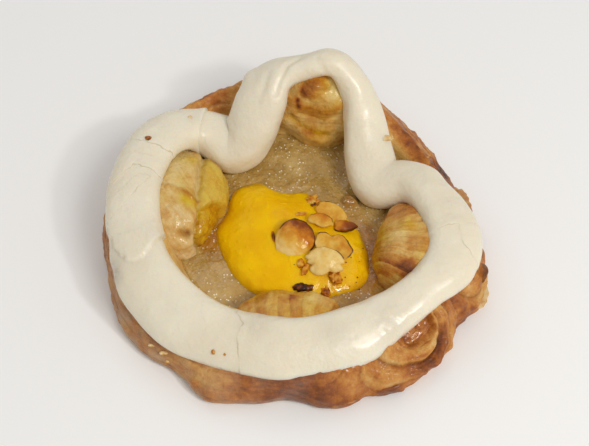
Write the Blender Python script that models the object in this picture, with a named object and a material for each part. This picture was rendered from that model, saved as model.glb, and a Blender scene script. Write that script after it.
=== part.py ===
"""A Danish pastry: a round of laminated dough with its four corners folded in over almond paste, a spoon
of custard in the middle, toasted almond pieces on the custard and a thick ring of white icing piped over
the folds.

Lengths are in millimetres and azimuths in degrees, counted from +X towards +Y, which is the back. MM turns
a length into Blender's metres. Places are given from the middle of the round dough, and the pieces are
moved so that the origin is on the table under the middle of the whole outline, OUTLINE_MIDDLE.
"""

import math

import bmesh
import bpy
from mathutils import Matrix, Vector, noise

MM = 0.001
GAP = 0.3
MERGE = 0.01
PASTRY_WIDTH = 110.0
BASE_RADIUS = PASTRY_WIDTH / 2
OUTLINE_MIDDLE = (-1.4, -0.4)
SHARP_ANGLE = 50.0

# The leaves of dough that show on the walls: how far apart and how deep they are, and by how many leaves
# and over what length they waver.
LAYER_PITCH = 2.7
LAYER_DEPTH = 0.45
LAYER_WAVER = 1.6
LAYER_WAVER_LENGTH = 11.0

# A size that changes round the pastry is a base value and bumps of (azimuth, half width, amount).
FOOT_RADIUS = (BASE_RADIUS, (22, 32, -6.2), (100, 30, -1.6), (195, 10, -1.4), (212, 16, 1.0), (233, 5, -1.2),
               (246, 6, 2.2), (267, 8, -2.8), (283, 6, 0.6), (289, 4, -1.4), (303, 12, 1.0), (326, 7, -2.2),
               (340, 7, 1.0))
SHOULDER_RADIUS = (50.6, (28, 34, -7.8), (80, 16, -3.0), (122, 14, -3.0), (306, 18, -2.6), (205, 26, 1.2))
SHOULDER_HEIGHT = (14.6, (80, 17, 12.0), (122, 22, 4.6), (165, 20, 2.6), (252, 46, -4.6), (315, 16, -2.4),
                   (25, 30, -1.6))
CREST_RADIUS = (43.6, (28, 26, -1.6), (80, 16, -3.0), (125, 14, 1.6), (222, 16, 0.8), (300, 12, -1.0))
CREST_HEIGHT = (17.2, (80, 20, 12.6), (128, 20, 2.0), (160, 16, 2.0), (28, 20, -3.0), (252, 44, -1.8),
                (300, 14, -1.2))
INNER_RADIUS = (37.0, (28, 22, 1.6), (80, 16, 1.6), (125, 14, 4.6), (222, 14, 1.4))
INNER_HEIGHT = (16.4, (80, 17, 12.5), (28, 20, -4.6), (125, 14, -2.0), (222, 16, -1.6), (300, 12, -1.6))
HOLLOW_RADIUS = (33.0, (125, 16, 3.5), (28, 20, 2.4))
HOLLOW_HEIGHT = 6.2
HOLLOW_FLAT_SHARE = 0.6
HOLLOW_RISE = 0.4
WAIST_SHARE = 0.42
WAIST_INSET = 0.2
FOOT_HEIGHT = 1.6
FOOT_CHAMFER = 1.2
DOUGH_AZIMUTHS = 72
DOUGH_SPANS = (1, 2, 3, 2, 6, 3)

# Each lobe of folded dough: the azimuth, radius and height of its middle, its half sizes inward, outward,
# sideways and upward, how far its top leans outward, how far it turns on itself and how much narrower it is
# at the top.
FOLDS = {
    "back": (80.0, 38.8, 17.0, 9.6, 7.6, 15.6, 15.0, 10.0, 0.0, 0.3),
    "left": (170.0, 37.0, 9.5, 16.5, 11.0, 18.0, 10.5, 0.0, 0.0, 0.0),
    "front": (267.0, 37.0, 8.5, 12.5, 10.0, 15.5, 8.5, 0.0, 0.0, 0.0),
    "right": (342.0, 37.0, 9.5, 14.0, 10.0, 14.0, 10.0, 0.0, 0.0, 0.0),
    "wrap": (313.0, 45.0, 6.4, 6.6, 6.6, 13.0, 5.6, 0.0, 8.0, 0.0),
}
FOLD_POWER = 2.5
FOLD_SEGMENTS = 20
FOLD_RINGS = 16
FOLD_FLOOR = 0.8

# The line of the piped ring: azimuth, radius, height, half width and how far the ring leans down outward.
ICING_LINE = (
    (333, 44.8, 16.6, 7.2, 10), (344, 44.2, 17.6, 7.4, 8), (355, 40.4, 18.0, 6.8, 4),
    (8, 36.0, 17.0, 6.2, 0), (18, 32.4, 15.2, 7.0, -6), (27, 26.2, 12.8, 7.8, -6),
    (43, 28.0, 16.8, 7.1, 0), (55, 33.8, 23.0, 5.8, 8), (63, 36.8, 29.0, 4.6, 16),
    (74, 39.0, 34.4, 4.6, 22), (88, 37.6, 32.8, 4.8, 22), (99, 37.0, 30.2, 6.6, 14),
    (108, 33.2, 26.0, 7.4, 4), (118, 29.2, 19.4, 7.6, -4), (127, 31.0, 14.8, 8.4, -8),
    (135, 38.8, 17.4, 6.6, 0), (145, 42.6, 20.4, 6.8, 4), (158, 44.5, 21.6, 7.2, 4),
    (173, 44.6, 20.8, 7.0, 4), (190, 45.0, 18.4, 6.9, 8), (208, 46.2, 15.6, 8.4, 18),
    (223, 45.6, 13.6, 8.7, 22), (243, 44.4, 12.6, 8.1, 26), (267, 43.3, 12.6, 8.1, 26),
    (290, 42.4, 12.8, 8.0, 24), (306, 41.4, 13.8, 6.4, 18), (320, 42.6, 15.4, 5.8, 12),
)
ICING_TOP = (4.4, (126, 14, 1.0), (30, 16, 1.0), (84, 18, -1.2))
ICING_BOTTOM = (3.2, (120, 16, 5.0), (30, 14, 3.0), (50, 12, 3.6), (250, 50, -0.4))
ICING_POWER = 2.3
ICING_STEPS = 3
ICING_SIDES = 12

PASTE_RADIUS = 37.0
PASTE_BOTTOM = 4.0
PASTE_HEIGHT = (7.6, (60, 40, 1.2), (220, 30, 0.6))
# The paste's top: the share of its radius and how far below its height.
PASTE_TOP = ((0.0, 0.0), (0.45, 0.0), (0.75, 0.0), (0.95, 0.5), (1.0, 1.6))
PASTE_CHAMFER = (0.8, 0.6)
PASTE_ROUGHNESS = 0.5
PASTE_ROUGH_LENGTH = 4.5
PASTE_AZIMUTHS = 40

CUSTARD_RADIUS = (20.8, (52, 44, -3.8), (95, 14, -1.8), (114, 6, 1.6), (128, 17, 4.2), (170, 14, 1.0),
                  (205, 26, -0.8), (326, 24, 3.4))
CUSTARD_MIDDLE = (-1.6, -5.4)
CUSTARD_BOTTOM = 6.4
CUSTARD_EDGE = 0.5
CUSTARD_TOP = 13.0
CUSTARD_WAVE = 0.35
CUSTARD_WAVER = 0.5
CUSTARD_FLATNESS = 3.0
CUSTARD_SHOULDER = 0.62
CUSTARD_SHARES = (0.0, 0.3, 0.55, 0.75, 0.88, 0.96, 1.0)
CUSTARD_EDGE_SHARE = 0.98
CUSTARD_AZIMUTHS = 44

# Each almond piece: its middle from above and how far it lies above the custard there, its half sizes, how
# far its rim is cupped up, and its turn in degrees about Z and then its tilts about X and Y.
ALMONDS = {
    "almond_slice_toasted": ((-0.6, -9.6, 1.6), (5.4, 5.3, 0.75), -1.5, (15.0, 18.0, -4.0)),
    "almond_slice_pale": ((9.7, -11.4, 0.7), (4.9, 3.4, 0.6), 0.5, (-30.0, 10.0, 4.0)),
    "almond_chunk_pale": ((7.4, -16.8, 2.1), (4.7, 2.8, 1.0), -0.2, (-12.0, 16.0, 1.0)),
    "almond_slice_back": ((9.7, 1.8, 0.5), (4.2, 2.4, 0.6), 0.4, (-26.0, 12.0, 10.0)),
    "almond_chip_brown": ((6.3, -2.4, 0.8), (2.9, 1.8, 0.7), 0.3, (-8.0, 14.0, 5.0)),
    "almond_wedge_dark": ((13.2, -3.6, 0.9), (3.2, 1.8, 1.1), 0.0, (8.0, 10.0, 12.0)),
}
ALMOND_POWER = 2.4
ALMOND_SEGMENTS = 16
ALMOND_RINGS = 6

# Each crumb of almond fused to the custard: its place from above and its half sizes.
CRUMBS = (
    ((4.2, 6.6), (1.3, 1.9, 0.7)),
    ((10.1, -19.4), (1.6, 2.7, 1.1)),
    ((1.4, -22.8), (2.4, 1.2, 1.0)),
    ((7.6, -23.0), (1.3, 1.4, 0.8)),
    ((1.0, -16.2), (0.8, 1.4, 1.0)),
    ((2.1, -17.9), (0.8, 1.9, 0.8)),
    ((-6.5, -7.6), (0.6, 1.5, 0.8)),
)
CRUMB_ROUGHNESS = 0.25
CRUMB_LIFT = 0.2

# Each loose leaf at the foot of the wall: the azimuth, radius and height of its middle, its half sizes
# outward, sideways and upward, how far its edge curls up, and its turn about the line outward.
FLAKES = (
    ((343.0, 52.2, 8.6), (2.6, 3.0, 0.8), 1.6, 24.0),
    ((338.0, 52.8, 3.6), (2.4, 3.6, 0.6), -0.6, 12.0),
    ((351.0, 50.6, 12.6), (2.2, 3.4, 0.6), 0.8, -14.0),
    ((246.0, 53.8, 1.9), (2.2, 4.4, 0.9), 0.4, 0.0),
    ((283.0, 53.2, 2.1), (2.2, 4.6, 0.9), 0.4, 4.0),
)
FLAKE_POWER = 2.2


def around(azimuth, size):
    """The value at this azimuth of a size that changes round the pastry."""
    value, *bumps = size
    for centre, half_width, amount in bumps:
        gap = (azimuth - centre + 180.0) % 360.0 - 180.0
        value += amount * math.exp(-((gap / half_width) ** 2))
    return value


def polar(radius, azimuth, height):
    angle = math.radians(azimuth)
    return Vector((radius * math.cos(angle), radius * math.sin(angle), height))


def turned(degrees, axis):
    return Matrix.Rotation(math.radians(degrees), 4, axis)


def azimuths(count):
    return [360.0 * k / count for k in range(count)]


def smooth_curve(points, spans):
    """Points along a smooth curve through the given points, with as many steps in each span as spans says."""
    last = len(points) - 1
    curve = []
    for span, steps in enumerate(spans):
        p0, p1, p2, p3 = (Vector(points[min(max(span + k, 0), last)]) for k in (-1, 0, 1, 2))
        for step in range(steps):
            t = step / steps
            curve.append(0.5 * (2 * p1 + (p2 - p0) * t + (2 * p0 - 5 * p1 + 4 * p2 - p3) * t**2
                                + (3 * p1 - 3 * p2 + p3 - p0) * t**3))
    curve.append(Vector(points[-1]))
    return curve


def layer_relief(level, place):
    """How far the edge of a leaf of dough stands out at this level, wavering from place to place."""
    waver = LAYER_WAVER * noise.noise(place / LAYER_WAVER_LENGTH)
    return LAYER_DEPTH * math.cos(2 * math.pi * (level / LAYER_PITCH + waver))


def dough_section(azimuth):
    """The dough's outline in one half-plane, from the middle of the hollow over the rim to the base."""
    foot = around(azimuth, FOOT_RADIUS)
    hollow = around(azimuth, HOLLOW_RADIUS)
    inner = (around(azimuth, INNER_RADIUS), around(azimuth, INNER_HEIGHT))
    crest = (around(azimuth, CREST_RADIUS), around(azimuth, CREST_HEIGHT))
    shoulder = (around(azimuth, SHOULDER_RADIUS), around(azimuth, SHOULDER_HEIGHT))
    upper = [(hollow * HOLLOW_FLAT_SHARE, HOLLOW_HEIGHT), (hollow, HOLLOW_HEIGHT + HOLLOW_RISE), inner, crest,
             shoulder, (foot - WAIST_INSET, shoulder[1] * WAIST_SHARE), (foot, FOOT_HEIGHT)]
    base = [(foot - FOOT_CHAMFER, 0.0), (foot * HOLLOW_FLAT_SHARE, 0.0), (0.0, 0.0)]
    return [(0.0, HOLLOW_HEIGHT)] + smooth_curve(upper, DOUGH_SPANS) + base


def wall_share(radius, height, azimuth):
    """1 on the outer wall, where the leaves of dough show, and 0 on the rim's top and on the base."""
    shoulder = around(azimuth, SHOULDER_HEIGHT)
    outside = min(max((radius - around(azimuth, CREST_RADIUS)) / 4.0, 0.0), 1.0)
    return outside * min(max(height / 2.0, 0.0), 1.0) * min(max((shoulder + 3.0 - height) / 3.0, 0.0), 1.0)


def dough_rings():
    rings = []
    for azimuth in azimuths(DOUGH_AZIMUTHS):
        ring = []
        for radius, height in dough_section(azimuth):
            place = polar(radius, azimuth, height)
            out = layer_relief(height, place) * wall_share(radius, height, azimuth)
            ring.append(polar(radius + out, azimuth, height))
        rings.append(ring)
    return rings


def mesh_object(name, bm, collection):
    """Makes an object from a mesh in millimetres about the middle of the dough."""
    bmesh.ops.remove_doubles(bm, verts=bm.verts, dist=0.001)
    bmesh.ops.triangulate(bm, faces=bm.faces)
    bmesh.ops.recalc_face_normals(bm, faces=bm.faces)
    bmesh.ops.translate(bm, vec=(-OUTLINE_MIDDLE[0], -OUTLINE_MIDDLE[1], 0.0), verts=bm.verts)
    bmesh.ops.scale(bm, vec=(MM, MM, MM), verts=bm.verts)
    mesh = bpy.data.meshes.new(name)
    bm.to_mesh(mesh)
    bm.free()
    mesh.shade_smooth()
    mesh.set_sharp_from_angle(angle=math.radians(SHARP_ANGLE))
    obj = bpy.data.objects.new(name, mesh)
    collection.objects.link(obj)
    return obj


def loft(name, rings, collection, closed_sections=False):
    """A solid through sections that go all the way round. Open sections start and end on the axis."""
    bm = bmesh.new()
    grid = [[bm.verts.new(point) for point in ring] for ring in rings]
    for here, there in zip(grid, grid[1:] + grid[:1]):
        pairs = list(zip(here, here[1:], there, there[1:]))
        if closed_sections:
            pairs.append((here[-1], here[0], there[-1], there[0]))
        for a, b, c, d in pairs:
            bm.faces.new((a, c, d, b))
    return mesh_object(name, bm, collection)


def power_size(parts, power):
    """1 on the outline of a shape between an ellipse, at power 2, and a box."""
    return sum(abs(part) ** power for part in parts) ** (1 / power)


def rounded_block(segments, rings, half_sizes, power):
    """A ball drawn out towards a box: a mesh with the given half sizes."""
    bm = bmesh.new()
    bmesh.ops.create_uvsphere(bm, u_segments=segments, v_segments=rings, radius=1.0)
    for vert in bm.verts:
        size = power_size(vert.co, power)
        vert.co = Vector(x / size * half for x, half in zip(vert.co, half_sizes))
    return bm


def fold(name, sizes, collection):
    """A lobe of folded dough: puffed, with its leaves wrapped round its end."""
    azimuth, radius, height, inward, outward, sideways, upward, lean, turn, taper = sizes
    bm = rounded_block(FOLD_SEGMENTS, FOLD_RINGS, (inward, sideways, upward), FOLD_POWER)
    place = (Matrix.Translation(polar(radius, azimuth, height)) @ turned(azimuth, "Z")
             @ turned(lean, "Y") @ turned(turn, "X"))
    for vert in bm.verts:
        away = Vector(x / half**2 for x, half in zip(vert.co, (inward, sideways, upward))).normalized()
        level = vert.co.z
        vert.co += away * layer_relief(level, place @ vert.co) * (1 - abs(level / upward) ** 6)
        vert.co.y *= 1 - taper * level / upward
        if vert.co.x > 0:
            vert.co.x *= outward / inward
    bm.transform(place)
    for vert in bm.verts:
        vert.co.z = max(vert.co.z, FOLD_FLOOR)
    return mesh_object(name, bm, collection)


def icing_line():
    """Places along the middle of the piped ring, each with its azimuth, half width and lean."""
    stations = [(*polar(radius, azimuth, height), half_width, lean)
                for azimuth, radius, height, half_width, lean in ICING_LINE]
    line = []
    for k in range(len(stations)):
        near = [stations[(k + step) % len(stations)] for step in (-1, 0, 1, 2)]
        for step in range(ICING_STEPS):
            t = step / ICING_STEPS
            line.append([0.5 * (2 * p1 + (p2 - p0) * t + (2 * p0 - 5 * p1 + 4 * p2 - p3) * t**2
                                + (3 * p1 - 3 * p2 + p3 - p0) * t**3) for p0, p1, p2, p3 in zip(*near)])
    return line


def icing_rings(grow):
    """Sections of the piped ring, square to its line, which dips inward and down between the folds."""
    line = icing_line()
    count = len(line)
    rings = []
    for k, (x, y, z, half_width, lean) in enumerate(line):
        before, after = (Vector(line[(k + step) % count][:3]) for step in (-2, 2))
        along = (after - before).normalized()
        outward = along.cross(Vector((0, 0, 1))).normalized()
        upward = outward.cross(along)
        tilt = math.radians(lean)
        across = outward * math.cos(tilt) - upward * math.sin(tilt)
        upward = outward * math.sin(tilt) + upward * math.cos(tilt)
        azimuth = math.degrees(math.atan2(y, x))
        ring = []
        for side in range(ICING_SIDES):
            angle = 2 * math.pi * side / ICING_SIDES
            height = around(azimuth, ICING_TOP if math.sin(angle) > 0 else ICING_BOTTOM) + grow
            size = power_size((math.cos(angle), math.sin(angle)), ICING_POWER)
            ring.append(Vector((x, y, z)) + across * ((half_width + grow) * math.cos(angle) / size)
                        + upward * (height * math.sin(angle) / size))
        rings.append(ring)
    return rings


def paste_rings(grow):
    """The almond paste: a flat round with an uneven top."""
    edge = PASTE_RADIUS + grow
    low = PASTE_BOTTOM - grow
    inset, rise = PASTE_CHAMFER
    rings = []
    for azimuth in azimuths(PASTE_AZIMUTHS):
        ring = []
        for share, drop in PASTE_TOP:
            place = polar(edge * share, azimuth, around(azimuth, PASTE_HEIGHT) - drop)
            rough = PASTE_ROUGHNESS * noise.noise(place / PASTE_ROUGH_LENGTH) if share > 0 else 0.0
            ring.append(place + Vector((0.0, 0.0, rough + grow)))
        ring += [polar(edge, azimuth, low + rise), polar(edge - inset, azimuth, low), Vector((0.0, 0.0, low))]
        rings.append(ring)
    return rings


def custard_height(share, azimuth):
    """The height of the custard's top at a share of its radius."""
    wave = CUSTARD_WAVE * math.sin(math.radians(3 * azimuth + 40)) * share
    edge = CUSTARD_BOTTOM + CUSTARD_EDGE
    return edge + (CUSTARD_TOP - edge + wave) * (1 - share**CUSTARD_FLATNESS) ** CUSTARD_SHOULDER


def custard_top_at(x, y):
    dx = x - CUSTARD_MIDDLE[0]
    dy = y - CUSTARD_MIDDLE[1]
    azimuth = math.degrees(math.atan2(dy, dx))
    share = min(math.hypot(dx, dy) / around(azimuth, CUSTARD_RADIUS), CUSTARD_EDGE_SHARE)
    return custard_height(share, azimuth)


def custard_rings(grow):
    rings = []
    middle = Vector((*CUSTARD_MIDDLE, 0.0))
    for azimuth in azimuths(CUSTARD_AZIMUTHS):
        edge = around(azimuth, CUSTARD_RADIUS) + CUSTARD_WAVER * noise.noise(polar(3.0, azimuth, 5.0))
        ring = []
        for share in CUSTARD_SHARES:
            ring.append(middle + polar((edge + grow) * share, azimuth, custard_height(share, azimuth) + grow))
        ring.append(middle + polar(edge + grow, azimuth, CUSTARD_BOTTOM - grow))
        ring.append(middle + Vector((0.0, 0.0, CUSTARD_BOTTOM - grow)))
        rings.append(ring)
    return rings


def almond_piece(name, sizes, collection, grow=0.0):
    """A thin cupped slice or chip of almond."""
    (x, y, lift), half_sizes, cup, (turn, tilt_x, tilt_y) = sizes
    centre = (x, y, custard_top_at(x, y) + lift)
    half_sizes = [half + grow for half in half_sizes]
    bm = rounded_block(ALMOND_SEGMENTS, ALMOND_RINGS, half_sizes, ALMOND_POWER)
    for vert in bm.verts:
        reach = (vert.co.x / half_sizes[0]) ** 2 + (vert.co.y / half_sizes[1]) ** 2
        vert.co.z += cup * reach
    bm.transform(Matrix.Translation(centre) @ turned(turn, "Z") @ turned(tilt_x, "X") @ turned(tilt_y, "Y"))
    return mesh_object(name, bm, collection)


def crumb(name, sizes, collection, grow=0.0):
    """A crumb of almond, sunk to its middle in the custard."""
    (x, y), half_sizes = sizes
    bm = bmesh.new()
    bmesh.ops.create_icosphere(bm, subdivisions=1, radius=1.0)
    for vert in bm.verts:
        rough = 1 + CRUMB_ROUGHNESS * noise.noise(vert.co * 2.0 + Vector((x, y, 0.0)))
        vert.co = Vector(part * (half * rough + grow) for part, half in zip(vert.co, half_sizes))
    bm.transform(Matrix.Translation((x, y, custard_top_at(x, y) + CRUMB_LIFT)))
    return mesh_object(name, bm, collection)


def flake(name, sizes, collection):
    """A thin leaf that has come away from the wall, curled at its outer edge."""
    (azimuth, radius, height), half_sizes, curl, turn = sizes
    bm = rounded_block(ALMOND_SEGMENTS, ALMOND_RINGS, half_sizes, FLAKE_POWER)
    for vert in bm.verts:
        vert.co.z += curl * max(vert.co.x / half_sizes[0], 0.0) ** 2
    middle = polar(radius, azimuth, height)
    bm.transform(Matrix.Translation(middle) @ turned(azimuth, "Z") @ turned(turn, "X"))
    return mesh_object(name, bm, collection)


def new_collection(name):
    collection = bpy.data.collections.new(name)
    bpy.context.scene.collection.children.link(collection)
    return collection


def boolean(obj, collection, operation):
    """Adds a Boolean of the object with every object in a collection."""
    modifier = obj.modifiers.new(collection.name, "BOOLEAN")
    modifier.operation = operation
    modifier.operand_type = "COLLECTION"
    modifier.collection = collection
    modifier.solver = "EXACT"


def material(name, colour, roughness):
    made = bpy.data.materials.new(name)
    made.use_nodes = True
    shader = made.node_tree.nodes["Principled BSDF"]
    shader.inputs["Base Color"].default_value = (*colour, 1.0)
    shader.inputs["Roughness"].default_value = roughness
    shader.inputs["Metallic"].default_value = 0.0
    made.diffuse_color = (*colour, 1.0)
    return made


def as_helpers(collection):
    for obj in collection.objects:
        obj.hide_render = True
        obj.display_type = "WIRE"


def largest_body(bm):
    """The faces of a mesh's largest body, walking from face to face over edges that only two faces share."""
    left = set(bm.faces)
    bodies = []
    while left:
        front = {left.pop()}
        body = set(front)
        while front:
            edges = {edge for face in front for edge in face.edges if len(edge.link_faces) == 2}
            front = {face for edge in edges for face in edge.link_faces} & left
            left -= front
            body |= front
        bodies.append(body)
    return max(bodies, key=len)


def settle(obj):
    """Applies the object's Booleans and drops any loose scrap that they leave."""
    bm = bmesh.new()
    bm.from_object(obj, bpy.context.evaluated_depsgraph_get())
    bmesh.ops.remove_doubles(bm, verts=bm.verts, dist=MERGE * MM)
    bmesh.ops.triangulate(bm, faces=bm.faces)
    body = largest_body(bm)
    bmesh.ops.delete(bm, geom=[face for face in bm.faces if face not in body], context="FACES")
    obj.modifiers.clear()
    bm.to_mesh(obj.data)
    bm.free()


def remove_helpers(collection):
    for obj in list(collection.objects):
        bpy.data.objects.remove(obj)
    bpy.data.collections.remove(collection)


def main():
    for obj in list(bpy.data.objects):
        bpy.data.objects.remove(obj)
    pastry = new_collection("danish_pastry")
    folds = new_collection("folds")
    crumbs = new_collection("almond_crumbs")
    icing_space = new_collection("icing_space")
    paste_space = new_collection("paste_space")
    custard_space = new_collection("custard_space")
    crumb_space = new_collection("crumb_space")
    almond_space = new_collection("almond_space")
    helpers = (folds, crumbs, icing_space, paste_space, custard_space, crumb_space, almond_space)

    dough = loft("dough", dough_rings(), pastry)
    icing = loft("icing", icing_rings(0.0), pastry, closed_sections=True)
    paste = loft("almond_paste", paste_rings(0.0), pastry)
    custard = loft("custard", custard_rings(0.0), pastry)
    almonds = [almond_piece(name, sizes, pastry) for name, sizes in ALMONDS.items()]

    for name, sizes in FOLDS.items():
        fold("fold_" + name, sizes, folds)
    for number, sizes in enumerate(FLAKES):
        flake(f"flake_{number}", sizes, folds)
    for number, sizes in enumerate(CRUMBS):
        crumb(f"crumb_{number}", sizes, crumbs)
        crumb(f"crumb_{number}_cut", sizes, crumb_space, GAP)
    loft("icing_cut", icing_rings(GAP), icing_space, closed_sections=True)
    loft("paste_cut", paste_rings(GAP), paste_space)
    loft("custard_cut", custard_rings(GAP), custard_space)
    for name, sizes in ALMONDS.items():
        almond_piece(name + "_cut", sizes, almond_space, GAP)
    for helper in helpers:
        as_helpers(helper)

    boolean(dough, folds, "UNION")
    for space in (paste_space, custard_space, crumb_space, icing_space):
        boolean(dough, space, "DIFFERENCE")
    for space in (custard_space, crumb_space, icing_space):
        boolean(paste, space, "DIFFERENCE")
    boolean(custard, crumbs, "UNION")
    boolean(custard, almond_space, "DIFFERENCE")
    for piece in (dough, paste, custard):
        settle(piece)
    for helper in helpers:
        remove_helpers(helper)

    dough.data.materials.append(material("baked_dough", (0.62, 0.36, 0.13), 0.5))
    icing.data.materials.append(material("white_icing", (0.86, 0.83, 0.74), 0.3))
    paste.data.materials.append(material("almond_paste", (0.55, 0.46, 0.24), 0.35))
    custard.data.materials.append(material("yellow_custard", (0.85, 0.55, 0.01), 0.35))
    nut = material("toasted_almond", (0.72, 0.47, 0.18), 0.45)
    for piece in almonds:
        piece.data.materials.append(nut)


main()
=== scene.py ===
"""The looks of a Danish pastry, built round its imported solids.

Lengths are in millimetres and azimuths in degrees, counted from +X towards +Y, which is the back. Places are
given from the middle of the round dough. MM and OUTLINE_MIDDLE turn them into the frame's metres. The main
sizes are the solids' own, so each fine mesh has the form of the solid that it stands for.
"""

import math

import bpy
import numpy as np
from mathutils import Matrix, Vector, noise


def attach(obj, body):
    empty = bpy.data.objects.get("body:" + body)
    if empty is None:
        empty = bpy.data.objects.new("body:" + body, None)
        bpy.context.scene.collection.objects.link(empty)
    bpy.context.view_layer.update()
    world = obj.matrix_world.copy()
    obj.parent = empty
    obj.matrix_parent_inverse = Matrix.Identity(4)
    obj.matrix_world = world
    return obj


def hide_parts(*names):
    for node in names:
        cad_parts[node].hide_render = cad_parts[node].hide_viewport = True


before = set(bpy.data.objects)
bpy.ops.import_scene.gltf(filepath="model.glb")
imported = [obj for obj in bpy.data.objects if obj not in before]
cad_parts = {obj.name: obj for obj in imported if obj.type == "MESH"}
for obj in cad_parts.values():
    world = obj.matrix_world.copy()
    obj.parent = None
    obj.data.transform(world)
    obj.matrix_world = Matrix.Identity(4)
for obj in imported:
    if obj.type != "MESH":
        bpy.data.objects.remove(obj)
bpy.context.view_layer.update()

MM = 0.001
FAR = 1e9
OUTLINE_MIDDLE = (-1.4, -0.4)

# The camera, at the photograph's angle. FOCAL_PIXELS is the focal length for a picture PICTURE_WIDTH wide.
CAMERA_ELEVATION = 52.0
CAMERA_DISTANCE = 0.36
CAMERA_TARGET = (0.00065, 0.0078, 0.0)
FOCAL_PIXELS = 1242.0
PICTURE_WIDTH = 589.0
SENSOR_WIDTH = 36.0

# A size that changes round the pastry is a base value and bumps of (azimuth, half width, amount).
BASE_RADIUS = 55.0
FOOT_RADIUS = (BASE_RADIUS, (22, 32, -6.2), (100, 30, -1.6), (195, 10, -1.4), (212, 16, 1.0), (233, 5, -1.2),
               (246, 6, 2.2), (267, 8, -2.8), (283, 6, 0.6), (289, 4, -1.4), (303, 12, 1.0), (326, 7, -2.2),
               (340, 7, 1.0))
SHOULDER_RADIUS = (50.6, (28, 34, -7.8), (80, 16, -3.0), (122, 14, -3.0), (306, 18, -2.6), (205, 26, 1.2))
SHOULDER_HEIGHT = (14.6, (80, 17, 12.0), (122, 22, 4.6), (165, 20, 2.6), (252, 46, -4.6), (315, 16, -2.4),
                   (25, 30, -1.6))
CREST_RADIUS = (43.6, (28, 26, -1.6), (80, 16, -3.0), (125, 14, 1.6), (222, 16, 0.8), (300, 12, -1.0))
CREST_HEIGHT = (17.2, (80, 20, 12.6), (128, 20, 2.0), (160, 16, 2.0), (28, 20, -3.0), (252, 44, -1.8),
                (300, 14, -1.2))
INNER_RADIUS = (37.0, (28, 22, 1.6), (80, 16, 1.6), (125, 14, 4.6), (222, 14, 1.4))
INNER_HEIGHT = (16.4, (80, 17, 12.5), (28, 20, -4.6), (125, 14, -2.0), (222, 16, -1.6), (300, 12, -1.6))
HOLLOW_RADIUS = (33.0, (125, 16, 3.5), (28, 20, 2.4))
HOLLOW_HEIGHT = 6.2
DOUGH_ROWS = 860
DOUGH_SPANS = (2, 10, 20, 12, 46, 14)

# Each lobe of folded dough: the azimuth, radius and height of its middle, its half sizes inward, outward,
# sideways and upward, how far its top leans outward, how far it turns on itself and how much narrower it is
# at the top.
FOLDS = {
    "back": (80.0, 38.8, 17.0, 9.6, 7.6, 15.6, 15.0, 10.0, 0.0, 0.3),
    "left": (170.0, 37.0, 9.5, 16.5, 11.0, 18.0, 10.5, 0.0, 0.0, 0.0),
    "front": (267.0, 37.0, 8.5, 12.5, 10.0, 15.5, 8.5, 0.0, 0.0, 0.0),
    "right": (342.0, 37.0, 9.5, 14.0, 10.0, 14.0, 10.0, 0.0, 0.0, 0.0),
    "wrap": (313.0, 45.0, 6.4, 6.6, 6.6, 13.0, 5.6, 0.0, 8.0, 0.0),
}
# How square a fold is, and an almond piece, crumb or flake. 2 would be an ellipse.
FOLD_POWER = 2.5
SMALL_POWER = 2.2
FOLD_FLOOR = 0.8
FOLD_ROWS = 210
FOLD_COLUMNS = 122

# The line of the piped ring: azimuth, radius, height, half width and how far the ring leans down outward.
ICING_LINE = (
    (333, 44.8, 16.6, 7.2, 10), (344, 44.2, 17.6, 7.4, 8), (355, 40.4, 18.0, 6.8, 4),
    (8, 36.0, 17.0, 6.2, 0), (18, 32.4, 15.2, 7.0, -6), (27, 26.2, 12.8, 7.8, -6), (43, 28.0, 16.8, 7.1, 0),
    (55, 33.8, 23.0, 5.8, 8), (63, 36.8, 29.0, 4.6, 16), (74, 39.0, 34.4, 4.6, 22),
    (88, 37.6, 32.8, 4.8, 22), (99, 37.0, 30.2, 6.6, 14), (108, 33.2, 26.0, 7.4, 4),
    (118, 29.2, 19.4, 7.6, -4), (127, 31.0, 14.8, 8.4, -8), (135, 38.8, 17.4, 6.6, 0),
    (145, 42.6, 20.4, 6.8, 4), (158, 44.5, 21.6, 7.2, 4), (173, 44.6, 20.8, 7.0, 4),
    (190, 45.0, 18.4, 6.9, 8), (208, 46.2, 15.6, 8.4, 18), (223, 45.6, 13.6, 8.7, 22),
    (243, 44.4, 12.6, 8.1, 26), (267, 43.3, 12.6, 8.1, 26), (290, 42.4, 12.8, 8.0, 24),
    (306, 41.4, 13.8, 6.4, 18), (320, 42.6, 15.4, 5.8, 12),
)
ICING_TOP = (4.4, (126, 14, 1.0), (30, 16, 1.0), (84, 18, -1.2))
ICING_BOTTOM = (3.2, (120, 16, 5.0), (30, 14, 3.0), (50, 12, 3.6), (250, 50, -0.4))
ICING_POWER = 2.3
ICING_STEPS = 30
ICING_SIDES = 112

PASTE_RADIUS = 37.0
PASTE_BOTTOM = 4.0
PASTE_HEIGHT = (7.6, (60, 40, 1.2), (220, 30, 0.6))
PASTE_ROWS = 420
PASTE_COLUMNS = 150

CUSTARD_RADIUS = (20.8, (52, 44, -3.8), (95, 14, -1.8), (114, 6, 1.6), (128, 17, 4.2), (170, 14, 1.0),
                  (205, 26, -0.8), (326, 24, 3.4))
CUSTARD_MIDDLE = (-1.6, -5.4)
CUSTARD_BOTTOM = 6.4
CUSTARD_EDGE = 0.5
CUSTARD_TOP = 13.0
CUSTARD_LAST_SHARE = 0.98
CUSTARD_ROWS = 360
CUSTARD_COLUMNS = 130

# The rolled leaves low at the front right: the middle of their hollow, the way along the wall there, how much
# a length counts that way to the left and to the right of the middle, and the hollow's half sizes.
LOOP_CENTRE = (31.8, -36.8, 11.4)
LOOP_ALONG = (0.766, 0.643, 0.0)
LOOP_STRETCH = (0.55, 1.25)
LOOP_HOLLOW = (4.9, 3.9)
LOOP_SHARE = (0.0, (308, 27, 1.3))
LOOP_START = 3.6


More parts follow.
